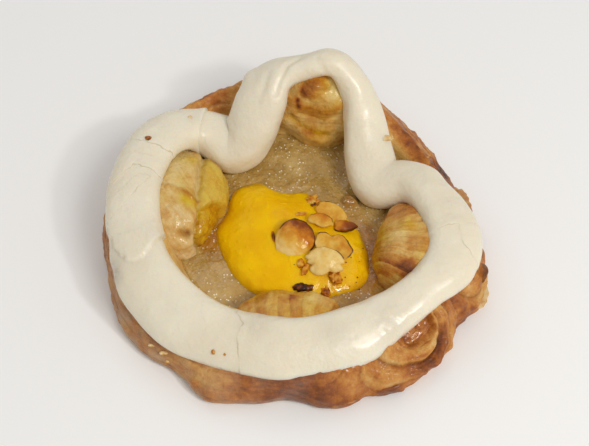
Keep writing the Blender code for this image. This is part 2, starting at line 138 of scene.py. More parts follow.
def srgb(red, green, blue):
    """A colour given as it looks on a screen, 0 to 255, as Blender's linear values."""
    parts = [part / 255.0 for part in (red, green, blue)]
    linear = [part / 12.92 if part <= 0.04045 else ((part + 0.055) / 1.055) ** 2.4 for part in parts]
    return (*linear, 1.0)


def all_round(rows):
    """Evenly spaced azimuths, one for each row."""
    return np.arange(rows) * 360.0 / rows


def turn_between(azimuth, centre):
    return (azimuth - centre + 180.0) % 360.0 - 180.0


def hump(value, width):
    """1 where the value is 0, and falling softly to 0 a few widths from there."""
    return np.exp(-((value / width) ** 2))


def around(azimuth, size):
    """The value at each azimuth of a size that changes round the pastry."""
    value, *bumps = size
    total = np.full(np.shape(azimuth), float(value))
    for centre, half_width, amount in bumps:
        total += amount * hump(turn_between(azimuth, centre), half_width)
    return total


def polar(radius, azimuth, height):
    angle = np.radians(azimuth)
    return np.stack(np.broadcast_arrays(radius * np.cos(angle), radius * np.sin(angle), height), axis=-1)


def azimuth_of(points):
    return np.degrees(np.arctan2(points[..., 1], points[..., 0])) % 360.0


def unit(value):
    """The value, kept between 0 and 1."""
    return np.clip(value, 0.0, 1.0)


def ramp(low, high, value):
    """0 below low, 1 above high and a smooth rise between them."""
    share = unit((value - low) / (high - low))
    return share * share * (3.0 - 2.0 * share)


def spots(points, places):
    """The sum of soft round spots, each given by its middle, its radius and its strength."""
    total = np.zeros(points.shape[:-1])
    for middle, radius, strength in places:
        total += strength * np.exp(-(((points - middle) ** 2).sum(-1)) / radius**2)
    return total


def noise_at(points, size, seed=0.0):
    """Smooth noise, mostly within -0.6 and 0.6, with bumps of this size."""
    places = (points / size + seed).reshape(-1, 3).tolist()
    return np.array([noise.noise(place) for place in places]).reshape(points.shape[:-1])


def distance_to_route(points, route):
    """How far each point is from a line through a few places."""
    nearest = np.full(points.shape[:-1], FAR)
    for start, end in zip(route, route[1:]):
        start, step = np.array(start), np.subtract(end, start)
        share = unit(((points - start) @ step) / (step @ step))
        nearest = np.minimum(nearest, np.linalg.norm(points - start - share[..., None] * step, axis=-1))
    return nearest


def side_of_route(points, route):
    """How far each point is from a line, seen from above: above 0 on its left and below 0 on its right."""
    nearest = np.full(points.shape[:-1], FAR)
    for start, end in zip(route, route[1:]):
        start, step = np.array(start), np.subtract(end, start)
        away = points[..., :2] - start
        share = unit((away @ step) / (step @ step))
        gap = np.linalg.norm(away - share[..., None] * step, axis=-1)
        left = step[0] * away[..., 1] - step[1] * away[..., 0]
        nearest = np.where(gap < np.abs(nearest), np.where(left > 0, gap, -gap), nearest)
    return nearest


def curve_point(p0, p1, p2, p3, t):
    """The point a share t of the way from p1 to p2, on a smooth curve through four points."""
    return 0.5 * (2 * p1 + (p2 - p0) * t + (2 * p0 - 5 * p1 + 4 * p2 - p3) * t**2
                  + (3 * p1 - 3 * p2 + p3 - p0) * t**3)


def smooth_curve(points, spans):
    """Points along a smooth curve through the given points, with as many steps in each span as spans says."""
    last = len(points) - 1
    curve = []
    for span, steps in enumerate(spans):
        near = [points[min(max(span + k, 0), last)] for k in (-1, 0, 1, 2)]
        curve += [curve_point(*near, step / steps) for step in range(steps)]
    return curve + [points[-1]]


def is_inside_out(grid, tube):
    """True if the faces of a grid would point inward."""
    a = grid
    b = np.roll(grid, -1, axis=0)
    c, d = (np.roll(side, -1, axis=1) for side in (b, a))
    if not tube:
        a, b, c, d = (side[:, :-1] for side in (a, b, c, d))
    volume = (np.cross(b - a, c - a) * a).sum() + (np.cross(c - a, d - a) * a).sum()
    return volume < 0


def normals_of(grid, tube):
    """The outward direction at each point of a grid."""
    along = np.roll(grid, -1, axis=0) - np.roll(grid, 1, axis=0)
    across = np.roll(grid, -1, axis=1) - np.roll(grid, 1, axis=1) if tube else np.gradient(grid, axis=1)
    out = np.cross(along, across)
    out /= np.maximum(np.linalg.norm(out, axis=-1, keepdims=True), 1e-9)
    return -out if is_inside_out(grid, tube) else out


def pushed_out(grid, amount, tube=False):
    """A grid with each point moved outward by its amount."""
    return grid + normals_of(grid, tube) * amount[..., None]


def solid(name, grid, fields, material, node, tube=False):
    """A closed mesh from a grid whose rows go round. A row's ends meet on the axis, unless it's a tube."""
    rows, columns = grid.shape[:2]
    if tube:
        index = np.arange(rows * columns).reshape(rows, columns)
        here = np.concatenate([index, index[:, :1]], axis=1)
        points = grid.reshape(-1, 3)
        values = {key: field.reshape(rows * columns, -1) for key, field in fields.items()}
    else:
        inner = columns - 2
        index = np.arange(rows * inner).reshape(rows, inner)
        first = np.full((rows, 1), rows * inner)
        here = np.concatenate([first, index, first + 1], axis=1)
        ends = [grid[:, 0].mean(axis=0), grid[:, -1].mean(axis=0)]
        points = np.concatenate([grid[:, 1:-1].reshape(-1, 3), ends])
        values = {}
        for key, field in fields.items():
            field = field.reshape(rows, columns, -1)
            tips = [field[:, 0].mean(axis=0), field[:, -1].mean(axis=0)]
            values[key] = np.concatenate([field[:, 1:-1].reshape(rows * inner, -1), tips])
    there = np.roll(here, -1, axis=0)
    quads = np.stack([here[:, :-1], there[:, :-1], there[:, 1:], here[:, 1:]], axis=-1).reshape(-1, 4)
    if is_inside_out(grid, tube):
        quads = quads[:, ::-1]
    faces = [list(dict.fromkeys(quad)) for quad in quads.tolist()]
    mesh = bpy.data.meshes.new(name)
    mesh.from_pydata(((points - (*OUTLINE_MIDDLE, 0.0)) * MM).tolist(), [], faces)
    for key, value in values.items():
        kind = "FLOAT" if value.shape[1] == 1 else "FLOAT_VECTOR"
        layer = mesh.attributes.new(key, kind, "POINT")
        layer.data.foreach_set("value" if kind == "FLOAT" else "vector", value.astype(np.float32).ravel())
    mesh.shade_smooth()
    mesh.materials.append(material)
    obj = bpy.data.objects.new(name, mesh)
    bpy.context.scene.collection.objects.link(obj)
    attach(obj, "root")
    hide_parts(node)
    return obj


# Materials

class Look:
    """A material in the making: its nodes, its links and the inputs of its shader."""

    def __init__(self, name, roughness, **settings):
        self.material = bpy.data.materials.new(name)
        self.material.use_nodes = True
        self.nodes = self.material.node_tree.nodes
        self.link = self.material.node_tree.links.new
        self.inputs = self.nodes["Principled BSDF"].inputs
        self.inputs["Roughness"].default_value = roughness
        for key, value in settings.items():
            self.inputs[key.replace("_", " ")].default_value = value

    def node(self, kind, values=(), **properties):
        """A node with these properties. Each value is a constant for an input, or an output to link."""
        node = self.nodes.new("ShaderNode" + kind)
        for key, value in properties.items():
            setattr(node, key, value)
        for key, value in values:
            if isinstance(value, (tuple, int, float)):
                node.inputs[key].default_value = value
            else:
                self.link(value, node.inputs[key])
        return node

    def attribute(self, name, output="Fac"):
        return self.node("Attribute", attribute_name=name).outputs[output]

    def math(self, operation, a, b, clamp=False):
        return self.node("Math", ((0, a), (1, b)), operation=operation, use_clamp=clamp).outputs[0]

    def own_space(self):
        return self.node("TexCoord").outputs["Object"]

    def noise(self, per_metre, detail=2.0, vector=None, roughness=0.55):
        """Noise from 0 to 1, in the object's own space or along another vector."""
        values = (("Scale", per_metre), ("Detail", detail), ("Roughness", roughness),
                  ("Vector", self.own_space() if vector is None else vector))
        return self.node("TexNoise", values).outputs["Fac"]

    def spread(self, value, low, high, to_low=0.0, to_high=1.0):
        """A value from low to high, turned into one from to_low to to_high."""
        values = (("Value", value), ("From Min", low), ("From Max", high), ("To Min", to_low),
                  ("To Max", to_high))
        return self.node("MapRange", values, interpolation_type="SMOOTHSTEP").outputs["Result"]

    def ramp(self, value, stops):
        """The colour at a value, between stops that are each a place from 0 to 1 and a colour."""
        node = self.node("ValToRGB", (("Fac", value),))
        elements = node.color_ramp.elements
        while len(elements) < len(stops):
            elements.new(0.5)
        for element, (place, colour) in zip(elements, stops):
            element.position = place
            element.color = srgb(*colour)
        return node.outputs["Color"]

    def mix(self, share, a, b, blend="MIX"):
        return self.node("Mix", (("Factor", share), (6, a), (7, b)), data_type="RGBA",
                         blend_type=blend).outputs[2]

    def finish(self, colour, *layers):
        """Sets the colour and fine relief. Each layer is a height from 0 to 1 and its size in metres."""
        self.link(colour, self.inputs["Base Color"])
        normal = None
        for height, metres in layers:
            node = self.node("Bump", (("Height", height), ("Distance", metres)))
            if normal is not None:
                self.link(normal, node.inputs["Normal"])
            normal = node.outputs["Normal"]
        self.link(normal, self.inputs["Normal"])
        return self.material


def baked_dough():
    """Baked crust: pale where it was covered, through gold and caramel to dark brown where it stood out."""
    look = Look("baked_dough", 0.46, Subsurface_Weight=0.12, Subsurface_Scale=0.0012,
                Subsurface_Radius=(1.0, 0.5, 0.15), Coat_Roughness=0.14, Specular_IOR_Level=0.3)
    mottle = look.noise(420.0, 6.0, roughness=0.7)
    grain = look.noise(1.0, 4.0, look.attribute("grain", "Vector"), 0.65)
    toast = look.math("ADD", look.attribute("toast"), look.spread(mottle, 0.3, 0.7, -0.09, 0.09))
    toast = look.math("ADD", toast, look.spread(grain, 0.3, 0.7, -0.05, 0.05), clamp=True)
    colour = look.ramp(toast, (
        (0.0, (236, 212, 164)), (0.2, (226, 188, 122)), (0.4, (208, 150, 74)), (0.6, (182, 110, 40)),
        (0.78, (140, 74, 24)), (1.0, (70, 34, 14))))
    # Darker brown deep in the grooves between leaves: painted shade.
    crease_shade = look.math("MULTIPLY", look.attribute("crease_shade"), 0.6, clamp=True)
    colour = look.mix(crease_shade, colour, srgb(122, 64, 18))
    colour = look.mix(look.attribute("dry"), colour, srgb(192, 164, 130))
    stained = look.mix(1.0, colour, srgb(236, 220, 36), "MULTIPLY")
    colour = look.mix(look.attribute("stain"), colour, stained)
    look.link(look.attribute("wet"), look.inputs["Coat Weight"])
    return look.finish(colour, (look.noise(1300.0, 3.0), 0.0003), (grain, 0.00018), (mottle, 0.0005))


def white_icing():
    """Set icing: a warm white with a soft gloss, slightly see-through, with hairline steps where it split."""
    look = Look("white_icing", 0.42, Subsurface_Weight=0.45, Subsurface_Scale=0.004,
                Subsurface_Radius=(1.0, 0.72, 0.42), Coat_Weight=0.35, Coat_Roughness=0.2,
                Specular_IOR_Level=0.35)
    split, shown, rough = (look.attribute(name) for name in ("split", "shown", "rough"))
    colour = look.ramp(look.noise(45.0, 3.0), ((0.3, (228, 218, 194)), (0.7, (238, 230, 209))))
    # Darker along the splits: painted shade in the hairline cracks.
    near = look.spread(look.math("ABSOLUTE", split, 0.0), 0.0, 0.25, 0.8, 0.0)
    colour = look.mix(look.math("MULTIPLY", near, shown), colour, srgb(204, 190, 160))
    # The rough patches are bumpier and a darker grey. At the groove beside the tongue that grey is painted
    # shade.
    colour = look.mix(rough, colour, srgb(208, 198, 180))
    step = look.math("MULTIPLY", look.spread(split, -0.25, 0.25), shown)
    patch = look.math("MULTIPLY", look.noise(420.0, 3.0), rough)
    return look.finish(colour, (look.noise(190.0, 3.0), 0.0004), (look.noise(700.0), 0.0002),
                       (patch, 0.0008), (step, 0.00018))


def almond_paste():
    """Baked almond paste: moist, grainy and greyish, with many small bright highlights painted into its colour
    as pale dots.
    """
    look = Look("almond_paste", 0.4, Subsurface_Weight=0.5, Subsurface_Scale=0.002,
                Subsurface_Radius=(1.0, 0.8, 0.45), Coat_Weight=1.0, Coat_Roughness=0.1,
                Specular_IOR_Level=0.2)
    colour = look.ramp(look.noise(150.0, 5.0), (
        (0.3, (162, 129, 64)), (0.5, (184, 150, 82)), (0.7, (206, 176, 110))))
    stained = look.mix(1.0, colour, srgb(255, 208, 8), "MULTIPLY")
    colour = look.mix(look.attribute("stain"), colour, stained)
    colour = look.mix(look.attribute("toast"), colour, srgb(150, 90, 38))
    # Painted highlights: pale dots on a share of the grains stand in for glints of light on the wet paste. The
    # grains also give the fine relief.
    grains_and_glints = look.node("TexVoronoi", (("Scale", 1100.0), ("Vector", look.own_space()))).outputs
    rounded = look.spread(grains_and_glints["Distance"], 0.0, 0.7, 1.0, 0.0)
    small = look.spread(grains_and_glints["Distance"], 0.14, 0.34, 1.0, 0.0)
    chosen = look.spread(grains_and_glints["Color"], 0.36, 0.62)
    thick = look.spread(look.noise(130.0), 0.35, 0.58, 0.1, 1.0)
    painted_glints = look.math("MULTIPLY", look.math("MULTIPLY", small, chosen), thick)
    colour = look.mix(painted_glints, colour, srgb(255, 248, 226))
    return look.finish(colour, (look.noise(420.0, 3.0), 0.0002), (rounded, 0.00018))


def yellow_custard():
    """Baked custard: a deep clear yellow, wet at its edge, with a thin skin."""
    look = Look("yellow_custard", 0.5, Subsurface_Weight=0.4, Subsurface_Scale=0.003,
                Subsurface_Radius=(1.0, 0.62, 0.02), Coat_Roughness=0.06, Specular_IOR_Level=0.1)
    broad = look.noise(110.0, 4.0)
    colour = look.ramp(broad, ((0.3, (232, 174, 0)), (0.7, (248, 200, 0))))
    colour = look.mix(look.attribute("thin"), colour, srgb(206, 150, 14))
    wet = look.attribute("wet")
    look.link(wet, look.inputs["Coat Weight"])
    wet_ripple = look.math("MULTIPLY", look.noise(330.0, 3.0), wet)
    return look.finish(colour, (broad, 0.0004), (look.noise(700.0), 0.00016), (wet_ripple, 0.001))


def toasted_almond():
    """Almond: cream flesh, toasted in places to dark brown, with a thin dark skin at the rim."""
    look = Look("toasted_almond", 0.45, Subsurface_Weight=0.05, Subsurface_Scale=0.001,
                Subsurface_Radius=(1.0, 0.5, 0.2), Coat_Weight=0.35, Coat_Roughness=0.1,
                Specular_IOR_Level=0.15)
    grain = look.noise(600.0, 4.0)
    toast = look.math("ADD", look.attribute("toast"), look.spread(grain, 0.3, 0.7, -0.08, 0.08), clamp=True)
    colour = look.ramp(toast, (
        (0.0, (236, 204, 128)), (0.25, (222, 170, 60)), (0.5, (200, 120, 10)), (0.72, (138, 66, 8)),
        (1.0, (54, 26, 10))))
    colour = look.mix(look.attribute("skin"), colour, srgb(66, 36, 16))
    return look.finish(colour, (look.noise(260.0, 3.0), 0.0003), (grain, 0.0003))


# Dough

def leaves(points, level, pitch, depth, waver=1.0, streak=0.15):
    """The relief of stacked leaves of dough, how deep each point lies in the groove between leaves (which the
    crust darkens there as painted shade), how toasted each leaf is, and a vector that changes fast from leaf to
    leaf and slowly along them."""
    phase = level / pitch + waver * (0.5 * noise_at(points, 13.0) + 0.2 * noise_at(points, 5.0, 7.3))
    edge = np.abs(np.sin(np.pi * phase)) ** 0.5
    leaf = np.floor(phase)
    overlap = phase - leaf - 0.5
    fine = np.abs(np.sin(np.pi * phase * 3.3 + 1.2 * noise_at(points, 8.0, 3.1)))
    strength = np.clip(0.7 + 1.1 * noise_at(points, 6.0, 5.2), 0.1, 1.3)
    relief = depth * strength * (edge - 0.7 + 0.6 * overlap * edge) + 0.14 * depth * (fine - 0.6)
    crease_shade = unit((1.0 - edge) ** 1.8 * 1.5 * strength)
    along = np.stack([leaf * 3.7, *(points[..., k] * 0.09 for k in range(2))], axis=-1)
    lip = hump(overlap - 0.36, 0.09)
    band = noise_at(along, 1.0, 11.3) - 0.35 * lip * strength
    grain = np.stack([phase * 4.0, *(points[..., k] * streak for k in (0, 1))], axis=-1)
    return relief, crease_shade, band, grain


def loop_distance(points):
    """How far each point is from the middle of the rolled leaves, and how far out it is in their hollow."""
    away = points - LOOP_CENTRE
    along = away @ np.array(LOOP_ALONG)
    rest = np.maximum((away**2).sum(-1) - along**2, 0.0)
    stretched = along * np.where(along > 0, LOOP_STRETCH[1], LOOP_STRETCH[0])
    inside = np.sqrt((along / LOOP_HOLLOW[0]) ** 2 + rest / LOOP_HOLLOW[1] ** 2)
    return np.sqrt(rest + stretched**2), inside


# How the wall changes round the pastry: how much its leaves stand out, how toasted, wet and dry it is, and
# how much its colour varies. The spots are browner or paler: the middle, the radius and how much.
WALL_LEAVES = (0.5, (313, 34, 0.6), (267, 16, -0.5), (222, 20, -0.2), (30, 40, 0.1), (110, 50, 0.35))
WALL_TOAST = (0.54, (267, 16, 0.3), (222, 24, 0.0), (312, 26, 0.05), (126, 24, -0.12), (28, 34, 0.1))
WALL_WET = (0.08, (267, 16, 0.7), (312, 24, 0.16), (28, 34, 0.16))
WALL_DRY = (0.0, (222, 30, 0.42), (190, 20, 0.12))
WALL_CALM = (1.0, (270, 22, -0.7))
WALL_SPOTS = (
    ((42.7, 19.3, 9.4), 4.0, 0.35),
    ((-27.0, 38.0, 19.0), 5.0, 0.2),
    ((6.0, -52.0, 3.9), 5.0, 0.04),
    ((-24.0, -48.0, 6.0), 4.0, -0.16),
    ((14.0, -50.0, 8.0), 5.0, -0.2),
    ((-12.0, 44.0, 20.0), 5.0, -0.16),
    ((31.0, 27.0, 15.0), 5.0, 0.08),
    ((41.3, 12.6, 15.0), 3.4, 0.2),
    ((44.5, -26.0, 9.0), 6.0, -0.14),
    ((32.5, 17.5, 17.0), 2.6, -0.22),
)
# How thick a leaf is on the wall, and on the rolled leaves as a share of that.
WALL_PITCH = 3.0
LOOP_PITCH_SHARE = 0.72


def dough_wall(points):
    """The relief and colour of the outer wall, for the round and for the fold that comes out of it."""
    azimuth = azimuth_of(points)
    height = points[..., 2]
    near_loop = unit(around(azimuth, LOOP_SHARE))
    distance, inside = loop_distance(points)
    level = height * (1 - near_loop) + LOOP_PITCH_SHARE * (distance - LOOP_START) * near_loop
    relief, crease_shade, band, grain = leaves(points, level, WALL_PITCH, 1.1, 0.6, 0.3)
    shoulder = around(azimuth, SHOULDER_HEIGHT)
    below_shoulder = ramp(shoulder + 1.5, shoulder - 2.0, height)
    amount = around(azimuth, WALL_LEAVES) * np.maximum(below_shoulder, near_loop)
    hollow = ramp(1.15, 0.95, inside + 0.2 * noise_at(points, 2.5, 3.3))
    relief = relief * amount * (1 + 0.3 * near_loop) * (1 - hollow)
    relief = relief - 2.4 * hollow + 0.12 * hollow * noise_at(points, 1.9, 1.1)
    calm = around(azimuth, WALL_CALM)
    blotch = noise_at(points, 7.0, 1.7) * calm
    speck = noise_at(points, 2.2, 4.7) * calm
    first = hump(inside - 1.35, 0.2) * near_loop
    quiet = 1 - 0.6 * near_loop
    toast = around(azimuth, WALL_TOAST) + (0.32 + 0.14 * near_loop) * band * amount - 0.14 * first
    toast = toast + (0.19 * blotch + 0.1 * speck) * quiet
    toast = (toast + spots(points, WALL_SPOTS)) * (1 - hollow) + (0.62 + 0.1 * speck) * hollow
    foot = ramp(2.2, 0.3, height + 1.2 * noise_at(points, 2.0, 5.5))
    dry = around(azimuth, WALL_DRY) * (1 + 1.4 * noise_at(points, 4.0, 8.8)) + 0.45 * foot * (1 - near_loop)
    dry = np.clip(dry, 0.0, 0.8) * (1 - hollow)
    wet = around(azimuth, WALL_WET) * np.clip(0.7 + 1.2 * noise_at(points, 5.0, 6.2), 0.0, 1.2)
    fields = {
        "toast": toast,
        "crease_shade": crease_shade * unit(amount) * (1 - hollow),
        "stain": np.zeros(toast.shape),
        "wet": unit(wet + 0.5 * hollow),
        "dry": dry,
        "grain": grain,
    }
    return relief, fields


def dough_section(azimuth):
    """The dough's outline at each azimuth, from the middle of the hollow over the rim to that of the base."""
    foot = around(azimuth, FOOT_RADIUS)
    hollow = around(azimuth, HOLLOW_RADIUS)
    shoulder_height = around(azimuth, SHOULDER_HEIGHT)
    upper = [
        (hollow * 0.6, HOLLOW_HEIGHT), (hollow, HOLLOW_HEIGHT + 0.4),
        (around(azimuth, INNER_RADIUS), around(azimuth, INNER_HEIGHT)),
        (around(azimuth, CREST_RADIUS), around(azimuth, CREST_HEIGHT)),
        (around(azimuth, SHOULDER_RADIUS), shoulder_height),
        (foot - 0.2, shoulder_height * 0.42), (foot, 1.6),
    ]
    base = [(foot - 0.4, 0.5), (foot - 1.2, 0.0), (foot * 0.6, 0.0), (0.0, 0.0)]
    as_points = [[np.stack(np.broadcast_arrays(*pair, azimuth)[:2], axis=-1) for pair in part]
                 for part in ([(0.0, HOLLOW_HEIGHT)], upper, base)]
    start, upper, base = as_points
    return np.stack(start + smooth_curve(upper, DOUGH_SPANS) + base, axis=1)


def dough_round(material):
    """The round itself, with its rim, its wall of leaves and the hollow for the paste."""
    azimuth = all_round(DOUGH_ROWS)
    section = dough_section(azimuth)
    points = polar(section[..., 0], azimuth[:, None], section[..., 1])
    relief, fields = dough_wall(points)
    crest = around(azimuth, CREST_RADIUS)[:, None]
    covered = ramp(crest - 1.5, crest - 5.0, section[..., 0]) * ramp(2.0, 4.0, section[..., 1])
    fields["toast"] = fields["toast"] * (1 - covered) + (0.16 + 0.2 * noise_at(points, 5.0, 6.6)) * covered
    fields["crease_shade"] = fields["crease_shade"] * (1 - covered)
    fields["dry"] = fields["dry"] * (1 - covered)
    fields["stain"] = 0.3 * covered
    outside = ramp(crest - 4.0, crest + 3.0, section[..., 0]) * ramp(0.0, 1.2, section[..., 1])
    crust = 0.9 * noise_at(points, 3.4, 2.2) + 0.3 * noise_at(points, 1.3, 8.1)
    rough = 0.3 + 0.7 * unit(around(azimuth, WALL_LEAVES))[:, None]
    points = pushed_out(points, (relief + crust * rough) * outside)
    points[..., 2] = np.maximum(points[..., 2], 0.0)
    return solid("dough_round", points, fields, material, "dough")


def block_grid(rows, columns, half_sizes, power=SMALL_POWER):
    """A ball drawn out towards a box: its rows are lines of longitude, from the top to the bottom."""
    latitude = np.radians(np.linspace(90.0, -90.0, columns))[None, :]
    ball = polar(np.cos(latitude), all_round(rows)[:, None], np.sin(latitude))
    size = (np.abs(ball) ** power).sum(-1) ** (1 / power)
    return ball / size[..., None] * half_sizes


def transform(points, matrix):
    matrix = np.array(matrix)
    return points @ matrix[:3, :3].T + matrix[:3, 3]


def rotation(degrees, axis):
    return Matrix.Rotation(math.radians(degrees), 4, axis)


def facing_out(radius, azimuth, height):
    """The matrix that moves a shape to a place, with its own +X pointing outward."""
    return Matrix.Translation(Vector(polar(radius, azimuth, height))) @ rotation(azimuth, "Z")


# Where the leaves show on the folds: the middle of the arcs on the back one and, from above, of the fan on
# the right one. On the left one: the seam beside its inner lobe, a step across that lobe with its slope, two
# holes with their half sizes, and a ridge.
BACK_ARCS = (7.0, 34.0, 36.0)
RIGHT_FAN = (13.0, -12.0)
LEFT_SEAM = -27.0
LEFT_STEP = (-28.4, -3.0, 0.85)
LEFT_HOLES = (((-31.3, -8.4, 15.4), (1.5, 1.0, 1.6)), ((-29.4, -8.7, 15.2), (1.1, 0.9, 1.4)))
LEFT_RIDGE = ((-35.5, 4.6, 19.6), (-31.0, 2.6, 19.6), (-27.2, 0.6, 18.4))
# Round bumps on the folds: the middle, the radius and how far each stands out.
FOLD_BUMPS = {
    "back": (((5.0, 33.4, 29.0), 3.4, 2.4), ((11.5, 31.5, 26.0), 4.0, 0.9), ((4.6, 29.6, 21.5), 3.6, -1.2),
             ((6.0, 29.0, 14.0), 5.0, 1.2), ((-4.5, 28.5, 10.5), 4.6, -3.2), ((17.0, 27.5, 10.5), 4.6, -3.2)),
    "left": (((-31.5, 11.5, 18.5), 5.0, 1.0), ((-32.5, -5.5, 16.5), 5.0, 0.7),
             ((-23.0, 11.0, 15.0), 4.0, 1.0)),
    "front": (((-6.0, -29.0, 15.0), 3.5, 0.7), ((4.0, -28.5, 14.5), 3.5, 0.6),
              ((-0.5, -27.0, 13.0), 2.0, -0.8)),
    "right": (((24.0, -4.0, 15.0), 4.0, 0.6), ((26.0, -15.0, 17.0), 4.0, 0.6), ((28.0, 2.0, 13.5), 4.5, 1.6)),
}
# Browner or paler spots and yellow spots on the folds: the middle, the radius and how much.
FOLD_SPOTS = {
    "back": (((5.0, 33.6, 30.2), 3.0, 0.3), ((2.4, 33.2, 28.6), 1.5, 0.3), ((0.2, 32.2, 25.4), 0.7, 0.6),
             ((0.5, 31.5, 23.9), 0.8, 0.6), ((-1.0, 32.0, 25.5), 2.2, 0.12), ((10.8, 32.4, 28.4), 3.2, -0.34),
             ((-2.5, 30.3, 14.5), 3.0, -0.16), ((12.5, 28.0, 17.0), 3.0, -0.16)),
    "left": (((-36.0, -2.0, 18.0), 3.0, 0.16),),
    "front": (((-1.3, -30.3, 15.6), 1.2, 0.5), ((-7.0, -28.5, 14.0), 3.0, 0.14),
              ((6.0, -28.0, 13.5), 4.0, -0.16)),
    "right": (((29.0, -20.5, 16.5), 2.6, 0.5), ((24.5, -19.0, 14.5), 2.2, 0.3),
              ((30.0, -1.0, 16.5), 4.0, 0.22),
              ((23.0, -3.0, 14.5), 2.2, 0.24), ((31.0, -13.0, 19.0), 1.8, 0.26)),
}
FOLD_STAINS = {
    "back": (((6.0, 29.0, 14.0), 4.0, 0.15), ((6.5, 33.6, 30.0), 3.0, 0.55)),
    "left": (((-28.6, -1.0, 19.0), 3.0, 0.7), ((-31.0, 1.0, 19.0), 2.4, 0.5),
             ((-29.5, 15.0, 19.0), 2.6, 0.5)),
    "front": (((0.0, -25.5, 11.0), 5.0, 0.4), ((-8.0, -27.0, 12.0), 4.0, 0.4)),
    "right": (((22.0, -9.0, 14.0), 5.0, 0.6), ((21.0, -15.0, 12.0), 4.0, 0.4),
              ((30.0, -8.0, 18.5), 2.4, 0.4)),
}
# The edges of the leaves on the back fold: a line, how wide it is, how far it stands out, how toasted it is
# and how yellow: the dark edge of the brown lobe, the crease under it, the orange lobe below, its lower edge
# and the valley.
BACK_EDGES = (
    (((1.8, 33.4, 31.4), (1.7, 33.2, 28.4), (2.8, 32.6, 27.3), (4.6, 32.3, 27.2)), 0.8, 0.2, 0.36, 0.0),
    (((1.2, 33.2, 31.0), (1.0, 32.4, 26.9), (4.6, 31.8, 26.3), (7.8, 32.6, 28.4), (9.8, 33.6, 31.0)),
     0.5, -0.8, 0.1, 0.0),
    (((1.5, 31.2, 24.2), (4.4, 30.3, 22.8), (7.8, 30.1, 23.0), (10.5, 30.6, 24.6), (13.0, 30.8, 26.8)),
     1.7, 0.6, 0.22, 0.35),
    (((0.2, 30.9, 21.4), (3.8, 29.7, 20.2), (7.8, 29.2, 20.4), (11.7, 29.5, 22.4)), 0.6, -0.7, 0.08, 0.25),
    (((-1.8, 31.0, 19.2), (1.0, 29.7, 17.0), (4.5, 28.6, 15.7), (8.5, 28.2, 15.8)), 1.2, -0.8, 0.08, 0.45),
)
# For each fold: the pitch and depth of its leaves, how toasted it is, and how much that changes from leaf to
# leaf.
FOLD_LEAVES = {
    "back": (3.4, 0.25, 0.22, 0.14), "left": (1.1, 0.12, 0.1, 0.14), "front": (3.4, 0.35, 0.34, 0.2),
    "right": (1.7, 0.45, 0.3, 0.34),
}
# How yellow the custard and the egg wash have made each fold.
FOLD_YELLOW = {"back": 0.34, "left": 0.36, "front": 0.6, "right": 0.42}


def fold_level(name, points):
    """Which leaf of a fold a point belongs to: arcs, slanting lines or a fan."""
    x, y, z = (points[..., k] for k in range(3))
    if name == "back":
        return np.sqrt((((points - BACK_ARCS) * (0.6, 0.5, 1.0)) ** 2).sum(-1))
    if name == "left":
        return 0.86 * x + 0.5 * y + 0.3 * z
    if name == "front":
        return x + 0.3 * z
    return 14.0 * np.arctan2(y - RIGHT_FAN[1], x - RIGHT_FAN[0]) + 0.35 * z


def fold_looks(name, points):
    """The relief and colour of a folded corner where it shows inside the ring of icing."""
    pitch, depth, base, change = FOLD_LEAVES[name]
    relief, crease_shade, band, grain = leaves(points, fold_level(name, points), pitch, depth)
    soft = np.clip(0.55 + 1.3 * noise_at(points, 7.0, 9.9), 0.1, 1.0)
    relief = relief * soft + spots(points, FOLD_BUMPS[name])
    toast = (base + change * band + 0.14 * noise_at(points, 5.0, 1.7) + 0.1 * noise_at(points, 1.6, 4.7)
             + spots(points, FOLD_SPOTS[name]))
    stain = FOLD_YELLOW[name] + spots(points, FOLD_STAINS[name]) + 0.3 * noise_at(points, 6.0, 3.9)
    if name == "back":
        for route, width, rise, more_toast, more_stain in BACK_EDGES:
            near = hump(distance_to_route(points, route), width)
            relief = relief + rise * near
            toast = toast + more_toast * near
            stain = stain + more_stain * near
    stain = unit(stain)
    crease_shade = crease_shade * 0.6 * soft
    wet = np.full(toast.shape, 0.38)
    if name == "left":
        x, y = points[..., 0], points[..., 1]
        out = LEFT_SEAM - x - 1.2 * noise_at(points, 6.0, 4.4)
        seam = hump(out, 1.1)
        inner = ramp(0.6, -0.8, out)
        step_x, step_y, slope = LEFT_STEP
        low = inner * ramp(0.8, -1.2, y - step_y - slope * (x - step_x) + 0.8 * noise_at(points, 3.0, 6.0))
        hole = sum(np.exp(-((((points - middle) / size) ** 2).sum(-1))) for middle, size in LEFT_HOLES)
        ridge = hump(distance_to_route(points, LEFT_RIDGE), 0.8)
        moist = ramp(1.0, -5.0, points[..., 1])
        relief = relief * (1 - 0.7 * inner) - 1.5 * seam - 2.4 * hole + 0.8 * ridge
        relief = relief + 0.5 * moist * noise_at(points, 1.5, 2.8) - 2.2 * low
        # Darker in the two holes and along the seam: painted shade in these recesses.
        toast = toast + 0.35 * unit(hole) + 0.3 * ridge + 0.12 * low + 0.06 * moist
        stain = np.maximum(stain, 0.85 * inner + 0.15 * low) * (1 - 0.5 * moist * (1 - inner))
        crease_shade = unit(crease_shade * (1 - moist) * (1 - 0.8 * inner) + 0.3 * seam + 0.5 * hole)
        wet = wet + 0.2 * moist
    dry = np.zeros(toast.shape)
    return relief, {"toast": toast, "crease_shade": crease_shade, "stain": stain, "wet": wet, "dry": dry, "grain": grain}


